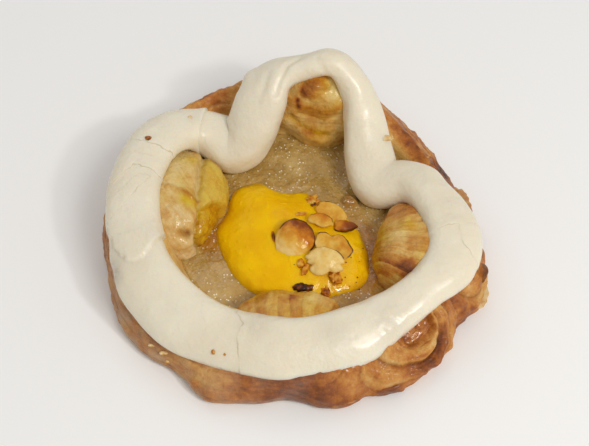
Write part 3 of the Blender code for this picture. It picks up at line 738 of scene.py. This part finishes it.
def fold(name, sizes, material):
    """A lobe of folded dough: puffed, with its leaves wrapped round its end."""
    azimuth, radius, height, inward, outward, sideways, upward, lean, turn, taper = sizes
    points = block_grid(FOLD_ROWS, FOLD_COLUMNS, (inward, sideways, upward), FOLD_POWER)
    points[..., 1] *= 1 - taper * points[..., 2] / upward
    points[..., 0] *= np.where(points[..., 0] > 0, outward / inward, 1.0)
    place = facing_out(radius, azimuth, height) @ rotation(lean, "Y") @ rotation(turn, "X")
    points = transform(points, place)
    relief, fields = dough_wall(points) if name == "wrap" else fold_looks(name, points)
    crust = 0.5 * noise_at(points, 4.0, 2.2) + 0.16 * noise_at(points, 1.3, 8.1)
    points = pushed_out(points, relief + crust)
    points[..., 2] = np.maximum(points[..., 2], FOLD_FLOOR)
    return solid("dough_fold_" + name, points, fields, material, "dough")


# Icing

# The tongue where the ring's ends overlap, seen from above: its tip, and how its edge bends back from there.
TONGUE_TIP = (-43.1, -21.3)
TONGUE_BEND = 0.19
# Lines seen from above, where the skin of the icing has split.
ICING_SPLITS = (
    ((-15.6, -35.0), (-14.2, -39.0), (-15.6, -43.0), (-14.6, -50.4)),
    ((34.0, -12.5), (43.0, -10.0), (44.0, -16.5), (47.5, -20.3)),
    ((-44.5, 17.0), (-37.7, 14.1), (-33.0, 13.0)),
    ((-50.0, 3.0), (-45.0, 8.0), (-39.0, 6.5), (-35.0, 3.0)),
    ((-46.5, -4.0), (-41.5, 2.5)),
)
# Lumps and dents, and rough patches: the middle, the radius and the height or strength. The rough patches are
# bumpier and a darker grey, and at the groove beside the tongue that grey is painted shade.
ICING_LUMPS = (
    ((-43.1, 28.2, 21.5), 2.2, 0.7), ((-14.2, 39.6, 27.5), 3.0, 1.6), ((-9.0, 33.0, 34.0), 3.0, 0.6),
    ((-11.0, -37.5, 18.0), 2.6, 0.3), ((-18.0, -38.0, 17.5), 3.0, -0.3), ((12.0, -43.0, 16.0), 5.0, 0.35),
    ((24.0, -38.0, 17.0), 5.0, 0.3), ((-40.5, -12.5, 22.0), 4.0, 0.35), ((42.0, -22.0, 20.0), 6.0, 0.4),
    ((-49.5, -22.0, 15.5), 2.8, -0.9), ((37.0, 2.0, 21.0), 5.0, 0.3), ((9.0, 40.5, 38.0), 4.0, 0.7),
    ((38.5, 11.0, 18.0), 4.0, 1.0), ((-33.0, -41.0, 11.0), 7.0, 0.8),
)
ICING_ROUGH_AND_SHADE = (((-49.0, -22.5, 16.0), 4.0, 1.0), ((-9.5, -39.0, 17.5), 3.4, 0.55),
               ((10.0, -41.5, 16.0), 4.5, 0.3),
               ((24.0, -38.0, 16.5), 5.0, 0.4), ((-39.0, -13.0, 22.0), 3.5, 0.3))
# Where the right leg runs into the shoulder: the middle and reach of the blend, and how many steps it takes.
ICING_BLEND = ((28.6, 14.6, 18.5), 6.5, 420)
# Creases at the top of the arch: the places on each, and then its depth and its half width.
ICING_CREASES = (
    ((0.5, 38.5, 36.8), (-3.0, 36.0, 36.0), (-4.6, 32.3, 34.0), (-6.0, 29.6, 30.6), 0.7, 1.0),
    ((-8.4, 35.0, 34.0), (-9.0, 32.0, 32.0), (-10.5, 28.8, 28.6), 0.5, 1.2),
    ((5.5, 37.0, 37.6), (7.0, 34.0, 36.6), (8.0, 31.6, 34.5), 0.3, 1.0),
)


def icing_line():
    """Places along the middle of the piped ring, each with its half width and lean."""
    stations = [np.array((*polar(radius, azimuth, height), half_width, lean))
                for azimuth, radius, height, half_width, lean in ICING_LINE]
    count = len(stations)
    line = []
    for span in range(count):
        near = [stations[(span + k) % count] for k in (-1, 0, 1, 2)]
        line += [curve_point(*near, step / ICING_STEPS) for step in range(ICING_STEPS)]
    return np.array(line)


def icing_ring(material):
    """The piped ring of icing, with its blobs, creases, cracks and the tongue where its ends overlap."""
    line = icing_line()
    middle = line[:, :3]
    reach = round(2 * ICING_STEPS / 3)
    along = np.roll(middle, -reach, axis=0) - np.roll(middle, reach, axis=0)
    along /= np.linalg.norm(along, axis=1, keepdims=True)
    outward = np.cross(along, (0.0, 0.0, 1.0))
    outward /= np.linalg.norm(outward, axis=1, keepdims=True)
    upward = np.cross(outward, along)
    tilt = np.radians(line[:, 4])[:, None]
    across = outward * np.cos(tilt) - upward * np.sin(tilt)
    upward = outward * np.sin(tilt) + upward * np.cos(tilt)
    azimuth = azimuth_of(middle)[:, None]
    angle = (2 * np.pi * np.arange(ICING_SIDES) / ICING_SIDES)[None, :]
    height = np.where(np.sin(angle) > 0, around(azimuth, ICING_TOP), around(azimuth, ICING_BOTTOM))
    size = (np.abs(np.cos(angle)) ** ICING_POWER + np.abs(np.sin(angle)) ** ICING_POWER) ** (1 / ICING_POWER)
    points = (middle[:, None] + across[:, None] * (line[:, 3][:, None] * np.cos(angle) / size)[..., None]
              + upward[:, None] * (height * np.sin(angle) / size)[..., None])

    ahead = points[..., 1] - TONGUE_TIP[1] - TONGUE_BEND * (points[..., 0] - TONGUE_TIP[0]) ** 2
    on_left = ramp(-20.0, -28.0, points[..., 0])
    ahead = ahead + 1.1 * noise_at(points, 2.6, 8.0) + 0.5 * noise_at(points, 1.0, 2.0)
    tongue = 0.95 * ramp(-0.2, 0.9, ahead) * hump(ahead, 15.0) * on_left
    relief = tongue + spots(points, ICING_LUMPS)
    relief = relief + 0.45 * noise_at(points, 12.0, 6.1) + 0.12 * noise_at(points, 4.0)
    split = np.full(relief.shape, 9.0)
    waver = 0.5 * noise_at(points, 1.8, 3.0) + 0.25 * noise_at(points, 0.8, 1.0)
    for route in ICING_SPLITS:
        side = side_of_route(points, route) + waver
        relief = relief + 0.12 * np.tanh(side / 0.5) * hump(side, 2.0)
        split = np.where(np.abs(side) < np.abs(split), side, split)
    for *route, depth, width in ICING_CREASES:
        relief = relief - depth * hump(distance_to_route(points, route), width)
    fields = {
        "split": split,
        "shown": unit(0.6 + 1.2 * noise_at(points, 5.0, 7.7)),
        "rough": unit(spots(points, ICING_ROUGH_AND_SHADE)),
    }
    relief = relief + 0.35 * fields["rough"] * noise_at(points, 1.5, 3.3)
    points = pushed_out(points, relief, tube=True)
    blend_middle, blend_reach, blend_steps = ICING_BLEND
    share = 0.5 * spots(points, ((blend_middle, blend_reach, 1.0),))[..., None]
    for _ in range(blend_steps):
        points = points + share * (0.5 * (np.roll(points, 1, axis=0) + np.roll(points, -1, axis=0)) - points)
    return solid("icing_ring", points, fields, material, "icing", tube=True)


# Paste and custard

def custard_height(share, azimuth):
    """The height of the custard's top at a share of its radius."""
    wave = 0.35 * np.sin(np.radians(3 * azimuth + 40)) * share
    edge = CUSTARD_BOTTOM + CUSTARD_EDGE
    return edge + (CUSTARD_TOP - edge + wave) * np.maximum(1 - share**3.0, 0.0) ** 0.62


def round_custard(x, y):
    """How far places lie from the middle of the custard, and at which azimuth."""
    dx = x - CUSTARD_MIDDLE[0]
    dy = y - CUSTARD_MIDDLE[1]
    return np.hypot(dx, dy), np.degrees(np.arctan2(dy, dx))


def custard_top_at(x, y):
    away, azimuth = round_custard(x, y)
    return custard_height(np.minimum(away / around(azimuth, CUSTARD_RADIUS), CUSTARD_LAST_SHARE), azimuth)


def outside_custard(points):
    """How far outside the custard's edge each point lies, seen from above."""
    away, azimuth = round_custard(points[..., 0], points[..., 1])
    return away - around(azimuth, CUSTARD_RADIUS)


# How much the custard has stained the paste beside it, round the custard's middle. Browner spots: the middle,
# the radius and how much. A lump, seen from above: the middle, the radius and the height.
PASTE_STAIN = (0.1, (344, 34, 0.9), (174, 18, 0.9), (260, 16, 0.2))
PASTE_SPOTS = (((19.5, -1.3, 8.0), 1.6, 0.4), ((15.0, 8.4, 10.0), 2.4, 0.55), ((-29.0, -11.0, 9.0), 1.2, 0.6))
PASTE_LUMP = ((15.0, 8.4), 2.0, 2.0)


def paste_bed(material):
    """The almond paste: a flat round with an uneven, grainy top."""
    azimuth = all_round(PASTE_ROWS)[:, None]
    share = np.linspace(0.0, 1.0, PASTE_COLUMNS)[None, :]
    top = around(azimuth, PASTE_HEIGHT) - 1.6 * ramp(0.9, 1.0, share)
    grid = polar(share * PASTE_RADIUS, azimuth, top)
    lumps = 0.7 * noise_at(grid, 6.0, 2.0) + 0.2 * noise_at(grid, 2.0, 5.0) + 0.1 * noise_at(grid, 0.9, 9.0)
    grid[..., 2] += lumps * ramp(0.0, 0.05, share)
    grid[..., 2] += 1.6 * ramp(17.0, 27.0, grid[..., 1]) * ramp(22.0, 12.0, np.abs(grid[..., 0] - 5.0))
    (x, y), reach, rise = PASTE_LUMP
    away = np.hypot(grid[..., 0] - x, grid[..., 1] - y) * (1 + 0.4 * noise_at(grid, 1.6, 2.9))
    grid[..., 2] += rise * ramp(1.3, 0.5, away / reach)
    bottom = [polar(radius, azimuth, PASTE_BOTTOM) for radius in (PASTE_RADIUS, 0.0)]
    points = np.concatenate([grid, *bottom], axis=1)
    _, bearing = round_custard(points[..., 0], points[..., 1])
    reached = ramp(7.5, 2.0, outside_custard(points) + 2.0 * noise_at(points, 3.0, 1.0))
    stain = around(bearing, PASTE_STAIN) * reached
    fields = {"stain": unit(stain), "toast": unit(spots(points, PASTE_SPOTS))}
    return solid("paste_bed", points, fields, material, "almond_paste")


# Wet spots: the middle, the radius and how wet.
CUSTARD_WET = (((12.0, -18.0, 11.0), 6.0, 0.7), ((16.0, -12.0, 10.0), 4.0, 0.6),
               ((-10.0, 12.0, 11.5), 4.0, 0.6),
               ((4.0, -20.0, 12.0), 5.0, 0.4), ((-4.0, 0.0, 13.0), 3.0, 0.3))


def custard_mound(material):
    """The custard: a smooth mound with small pimples and ripples."""
    azimuth = all_round(CUSTARD_ROWS)[:, None]
    share = np.sin(np.linspace(0.0, np.pi / 2, CUSTARD_COLUMNS - 3))[None, :]
    waver = np.array([noise.noise(place) for place in polar(3.0, azimuth[:, 0], 5.0).tolist()])[:, None]
    edge = around(azimuth, CUSTARD_RADIUS) + 0.5 * waver
    grid = polar(edge * share, azimuth, custard_height(share, azimuth))
    bottom = [polar(radius, azimuth, CUSTARD_BOTTOM) for radius in (edge, 0.0)]
    points = np.concatenate([grid, *bottom], axis=1) + (*CUSTARD_MIDDLE, 0.0)
    ripple = 0.35 * noise_at(points, 9.0, 4.0) + 0.14 * noise_at(points, 2.6, 1.0)
    pimple = 0.16 * ramp(0.35, 0.55, noise_at(points, 1.3, 6.0))
    crisp = ramp(CUSTARD_BOTTOM - 0.1, CUSTARD_BOTTOM + 1.5, points[..., 2])
    wet = unit(0.02 + spots(points, CUSTARD_WET) + 0.15 * noise_at(points, 6.0, 3.0))
    ripple = ripple + 0.35 * wet * noise_at(points, 1.8, 2.0)
    points = pushed_out(points, (ripple + pimple) * crisp)
    thin = 0.7 * ramp(-2.6, 0.0, outside_custard(points) + 0.8 * noise_at(points, 3.0, 5.0))
    return solid("custard_mound", points, {"wet": wet, "thin": thin}, material, "custard")


# Almonds

# Each almond piece: its middle from above and how far it lies above the custard there, its half sizes, how
# far its rim is cupped up, and its turn in degrees about Z and then its tilts about X and Y.
ALMONDS = {
    "almond_slice_toasted": ((-0.5, -9.9, 2.3), (5.5, 5.6, 0.8), -1.5, (15.0, 24.0, -5.0)),
    "almond_slice_pale": ((9.6, -11.6, 1.1), (5.2, 3.9, 0.6), 0.5, (-28.0, 16.0, 2.0)),
    "almond_chunk_pale": ((7.5, -16.3, 2.2), (5.0, 3.6, 1.0), -0.6, (-10.0, 20.0, 0.0)),
    "almond_slice_back": ((9.7, 1.6, 0.5), (4.4, 2.8, 0.5), 0.4, (-28.0, 14.0, 8.0)),
    "almond_chip_brown": ((6.3, -2.6, 1.0), (3.3, 2.0, 0.7), 0.3, (-6.0, 18.0, 4.0)),
    "almond_wedge_dark": ((13.2, -3.5, 1.1), (3.2, 2.0, 1.1), 0.0, (4.0, 14.0, 10.0)),
}
# The outline of each piece: 1 and bumps of (bearing round the rim, in its own degrees, half width, amount).
ALMOND_RIM = {
    "almond_slice_toasted": (1.0, (70, 30, 0.04), (140, 14, -0.04), (300, 30, -0.05)),
    "almond_slice_pale": (1.0, (112, 13, -0.26), (75, 16, 0.1), (20, 20, 0.1), (150, 18, 0.12),
                          (250, 40, -0.2)),
    "almond_chunk_pale": (1.0, (100, 24, 0.06), (250, 24, 0.24), (292, 9, -0.2), (215, 9, -0.2),
                          (330, 12, 0.14),
                          (175, 10, 0.08), (190, 6, -0.1), (350, 7, -0.14)),
    "almond_slice_back": (1.0, (60, 20, -0.1), (200, 20, 0.12), (260, 16, -0.14)),
    "almond_chip_brown": (1.0, (240, 26, -0.3), (340, 14, 0.2), (90, 20, 0.1)),
    "almond_wedge_dark": (0.9, (0, 15, 0.26), (140, 20, 0.2), (215, 18, 0.24), (60, 20, -0.04),
                          (300, 20, -0.1)),
}
# How toasted each piece is: at its middle, and how much more towards +X and +Y of its own.
ALMOND_TOAST = {
    "almond_slice_toasted": (0.36, 0.34, 0.3),
    "almond_slice_pale": (0.26, 0.1, 0.12),
    "almond_chunk_pale": (0.04, 0.02, 0.02),
    "almond_slice_back": (0.3, 0.0, -0.06),
    "almond_chip_brown": (0.3, 0.1, 0.25),
    "almond_wedge_dark": (0.68, 0.22, -0.1),
}
# Where each piece keeps its dark skin: the bearing round the rim, in its own degrees, and the half width.
ALMOND_SKIN = {
    "almond_slice_toasted": ((40, 95), (250, 45)),
    "almond_slice_pale": ((70, 90),),
    "almond_chunk_pale": ((60, 46),),
    "almond_slice_back": ((120, 20),),
    "almond_chip_brown": ((70, 80),),
    "almond_wedge_dark": ((0, 60), (250, 50)),
}
ALMOND_ROWS = 132
ALMOND_COLUMNS = 44
ALMOND_SKIN_FADE = 8.0


def almond_piece(name, sizes, material):
    """A thin cupped slice or chip of almond, uneven at its rim."""
    (x, y, lift), half_sizes, cup, (turn, tilt_x, tilt_y) = sizes
    points = block_grid(ALMOND_ROWS, ALMOND_COLUMNS, half_sizes)
    u, v = points[..., 0] / half_sizes[0], points[..., 1] / half_sizes[1]
    reach = u**2 + v**2
    bearing = np.degrees(np.arctan2(v, u))
    skin = np.zeros(u.shape)
    for centre, half_width in ALMOND_SKIN[name]:
        gap = np.abs(turn_between(bearing, centre))
        skin = np.maximum(skin, ramp(half_width, half_width - ALMOND_SKIN_FADE, gap))
    base, more_x, more_y = ALMOND_TOAST[name]
    toast = base + more_x * u + more_y * v + 0.1 * noise_at(points, 2.0, x)
    torn = around(bearing, ALMOND_RIM[name]) + 0.06 * noise_at(polar(1.0, bearing, 0.0), 0.4, x + 20.0)
    points[..., :2] *= (1 + (torn - 1) * ramp(0.1, 0.9, reach))[..., None]
    points[..., 2] += cup * reach
    points = pushed_out(points, 0.16 * noise_at(points, 1.2, y))
    centre = (x, y, float(custard_top_at(x, y)) + lift)
    place = Matrix.Translation(centre) @ rotation(turn, "Z") @ rotation(tilt_x, "X") @ rotation(tilt_y, "Y")
    fields = {"toast": toast, "skin": skin * ramp(0.86, 0.98, reach)}
    return solid(name + "_fine", transform(points, place), fields, material, name)


# Each crumb of almond on the custard: its place from above, its half sizes, its turn in degrees, how dark it
# is and how craggy.
CRUMBS = (
    ((10.1, -19.2), (1.6, 3.1, 1.2), 18.0, 0.48, 0.4),
    ((1.4, -22.8), (2.6, 1.3, 0.9), -4.0, 0.94, 0.3),
    ((7.6, -23.2), (1.2, 1.6, 0.8), 20.0, 0.62, 0.4),
    ((0.9, -16.2), (0.9, 1.6, 0.8), -10.0, 0.44, 0.3),
    ((2.1, -17.9), (0.9, 2.1, 0.7), -16.0, 0.5, 0.3),
    ((-6.6, -7.6), (0.45, 1.7, 0.6), 6.0, 0.66, 0.2),
    ((4.3, 6.8), (1.7, 2.0, 0.6), 10.0, 0.4, 0.4),
    ((1.2, 0.6), (1.6, 0.6, 0.2), 10.0, 0.34, 0.3),
)
# Where small grains are scattered: the middle, the reach each way, how many there are and the largest half
# size.
GRAIN_PATCHES = (
    ((4.4, 7.0), (1.3, 1.7), 26, 0.5),
    ((10.0, -19.4), (1.2, 2.2), 9, 0.45),
    ((7.2, -23.0), (1.4, 1.2), 6, 0.4),
    ((3.0, -17.0), (3.0, 2.2), 7, 0.3),
    ((13.0, -14.0), (5.0, 6.0), 8, 0.26),
    ((14.5, -21.0), (2.5, 2.0), 4, 0.26),
)
GRAIN_SEED = 7
# Rows and columns of a grain and of a speck, and how far the middles of crumbs and grains lie above the
# custard.
GRAIN_GRID = (14, 9)
SPECK_GRID = (30, 18)
CRUMB_LIFT = 0.3
GRAIN_LIFT = 0.12


def crumb_grid(half_sizes, seed, craggy=0.4, rows=48, columns=28):
    """A craggy lump."""
    points = block_grid(rows, columns, half_sizes)
    rough = 1 + craggy * (noise_at(points, 0.9, seed) + 0.7 * noise_at(points, 0.45, seed + 5.0))
    return points * rough[..., None]


def almond_crumbs(material):
    """The small toasted bits that stick to the custard."""
    pieces = []
    for number, ((x, y), half_sizes, turn, dark, craggy) in enumerate(CRUMBS):
        points = crumb_grid(half_sizes, 3.0 * number, craggy)
        toast = dark + 0.35 * noise_at(points, 1.0, 1.0 + number)
        place = (x, y, custard_top_at(x, y) + CRUMB_LIFT)
        pieces.append((transform(points, rotation(turn, "Z")) + place, toast))
    random = np.random.default_rng(GRAIN_SEED)
    for middle, reach, count, largest in GRAIN_PATCHES:
        for grain in range(count):
            x, y = random.normal(middle, np.array(reach) * 0.6)
            half = random.uniform(0.4 * largest, largest)
            points = crumb_grid((half, half * random.uniform(0.6, 1.2), half * 0.6), grain, 0.4, *GRAIN_GRID)
            toast = np.full(points.shape[:2], random.uniform(0.55, 0.95))
            pieces.append((points + (x, y, custard_top_at(x, y) + GRAIN_LIFT), toast))
    made = [solid(f"crumb_{number}", points, {"toast": toast}, material, "custard")
            for number, (points, toast) in enumerate(pieces)]
    join("almond_crumbs", made)


def join(name, pieces):
    """Makes one object of several."""
    with bpy.context.temp_override(active_object=pieces[0], object=pieces[0],
                                   selected_editable_objects=pieces,
                                   selected_objects=pieces):
        bpy.ops.object.join()
    pieces[0].name = name


# Specks of crust on the icing and beside it: the place, the half sizes and how toasted each is. One that is over
# the icing is let down on it, and its middle then stands SPECK_RISE of its half height higher.
SPECKS = (
    ((-41.4, 16.9, 25.9), (0.9, 0.8, 0.35), 0.7),
    ((-21.5, -45.2, 14.0), (0.5, 0.9, 0.3), 0.55),
    ((-18.5, -46.0, 13.2), (0.3, 0.5, 0.2), 0.5),
    ((37.5, 17.8, 17.0), (0.6, 0.4, 0.25), 0.6),
    ((-30.4, 27.0, 26.5), (0.6, 0.5, 0.25), 0.2),
    ((25.0, 20.9, 21.7), (2.3, 1.0, 0.4), 0.08),
)
# Pale streaks on the wall, given in the same way.
STREAKS = (
    ((-38.0, -38.6, 6.8), (1.3, 0.5, 0.4), 0.12),
    ((-35.0, -41.0, 6.8), (1.2, 0.5, 0.4), 0.14),
    ((-33.9, -42.3, 4.6), (0.7, 0.4, 0.3), 0.16),
)
SPECK_RISE = 0.2
SPECK_SEED = 40.0
ABOVE_ALL = 100.0


def specks(material, ring):
    """The specks and the streaks. The specks over the ring are let down on it from above."""
    bpy.context.view_layer.update()
    made = []
    for number, ((x, y, z), half_sizes, dark) in enumerate(SPECKS + STREAKS):
        above = Vector((x - OUTLINE_MIDDLE[0], y - OUTLINE_MIDDLE[1], ABOVE_ALL)) * MM
        found, place, _, _ = ring.ray_cast(above, Vector((0.0, 0.0, -1.0)))
        if found and number < len(SPECKS):
            z = place.z / MM + SPECK_RISE * half_sizes[2]
        points = crumb_grid(half_sizes, 2.0 * number + SPECK_SEED, 0.3, *SPECK_GRID) + (x, y, z)
        toast = dark + 0.4 * noise_at(points, 0.8, 2.0)
        made.append(solid(f"speck_{number}", points, {"toast": toast}, material, "icing"))
    join("crust_specks", made)


# Loose leaves at the foot of the wall: the azimuth, radius and height of the middle, the half sizes outward,
# sideways and upward, how far the edge curls up, the turn about the line outward and how toasted it is.
FLAKES = (
    ((342.0, 52.4, 8.0), (2.4, 2.8, 0.5), 1.6, 24.0, 0.85),
    ((336.6, 53.6, 4.2), (2.8, 3.8, 0.4), -0.4, 12.0, 0.2),
    ((7.0, 46.8, 10.4), (2.4, 7.4, 0.5), 0.6, -8.0, 0.4),
    ((246.0, 53.8, 1.9), (2.2, 4.4, 0.7), 0.4, 0.0, 0.6),
    ((283.0, 53.2, 2.1), (2.2, 4.6, 0.7), 0.4, 4.0, 0.75),
)
FLAKE_ROWS = 90
FLAKE_COLUMNS = 40


def flake(number, sizes, material):
    """A thin leaf that has come away from the wall, curled at its outer edge."""
    (azimuth, radius, height), half_sizes, curl, turn, dark = sizes
    points = block_grid(FLAKE_ROWS, FLAKE_COLUMNS, half_sizes)
    torn = 1 + 0.16 * noise_at(points * (1.0, 1.0, 0.0), 1.4, 9.0 * number)
    points[..., :2] *= torn[..., None]
    curled = curl * np.maximum(points[..., 0] / half_sizes[0], 0.0) ** 2
    points[..., 2] += curled + 0.25 * noise_at(points, 1.8, 3.0)
    points = transform(points, facing_out(radius, azimuth, height) @ rotation(turn, "X"))
    toast = dark + 0.3 * noise_at(points, 2.0, 1.0)
    fields = {"toast": toast, "crease_shade": 0 * toast, "stain": 0 * toast, "wet": 0 * toast + 0.2,
              "dry": 0 * toast + 0.3, "grain": points * 0.3}
    return solid(f"flake_{number}", points, fields, material, "dough")


# Floor, light and camera

FLOOR_SIZE = 3.0
FLOOR_DROP = 0.0002
LAMP_AIM = (0.0, 0.0, 0.015)


def floor():
    bpy.ops.mesh.primitive_plane_add(size=FLOOR_SIZE, location=(0.0, 0.0, -FLOOR_DROP))
    plane = bpy.context.object
    plane.name = "floor"
    plane.data.materials.append(Look("pale_floor", 0.6, Base_Color=(0.95, 0.95, 0.945, 1.0)).material)


def area_light(name, towards, distance, size, watts, colour=(1.0, 1.0, 1.0)):
    """A square lamp that looks at the pastry from the given direction."""
    light = bpy.data.lights.new(name, "AREA")
    light.size = size
    light.energy = watts
    light.color = colour
    lamp = bpy.data.objects.new(name, light)
    direction = Vector(towards).normalized()
    lamp.location = direction * distance + Vector(LAMP_AIM)
    lamp.rotation_mode = "QUATERNION"
    lamp.rotation_quaternion = direction.to_track_quat("Z", "Y")
    bpy.context.scene.collection.objects.link(lamp)


def lights():
    world = bpy.data.worlds.new("studio")
    world.use_nodes = True
    background = world.node_tree.nodes["Background"]
    background.inputs["Color"].default_value = (1.0, 0.98, 0.95, 1.0)
    background.inputs["Strength"].default_value = 0.5
    bpy.context.scene.world = world
    area_light("key", (0.42, -0.5, 0.78), 0.9, 0.3, 2.6, (1.0, 0.97, 0.92))
    area_light("glint", (0.55, -0.5, 0.66), 0.8, 0.06, 1.0)
    area_light("back_fill", (-0.3, 0.6, 0.75), 1.0, 0.6, 0.8)


def camera():
    elevation = math.radians(CAMERA_ELEVATION)
    back = Vector((0.0, -math.cos(elevation), math.sin(elevation)))
    right = Vector((1.0, 0.0, 0.0))
    place = Matrix((right, back.cross(right), back)).transposed().to_4x4()
    place.translation = Vector(CAMERA_TARGET) + back * CAMERA_DISTANCE
    lens = bpy.data.cameras.new("camera")
    lens.sensor_width = SENSOR_WIDTH
    lens.lens = SENSOR_WIDTH * FOCAL_PIXELS / PICTURE_WIDTH
    lens.clip_start = 0.01
    eye = bpy.data.objects.new("camera", lens)
    eye.matrix_world = place
    bpy.context.scene.collection.objects.link(eye)
    bpy.context.scene.camera = eye


def main():
    camera()
    floor()
    lights()
    bpy.context.scene.view_settings.view_transform = "Standard"

    dough = baked_dough()
    dough_round(dough)
    for name, sizes in FOLDS.items():
        fold(name, sizes, dough)
    for number, sizes in enumerate(FLAKES):
        flake(number, sizes, dough)
    ring = icing_ring(white_icing())
    paste_bed(almond_paste())
    custard_mound(yellow_custard())
    nut = toasted_almond()
    for name, sizes in ALMONDS.items():
        almond_piece(name, sizes, nut)
    almond_crumbs(nut)
    specks(dough, ring)

    bpy.context.view_layer.update()


main()
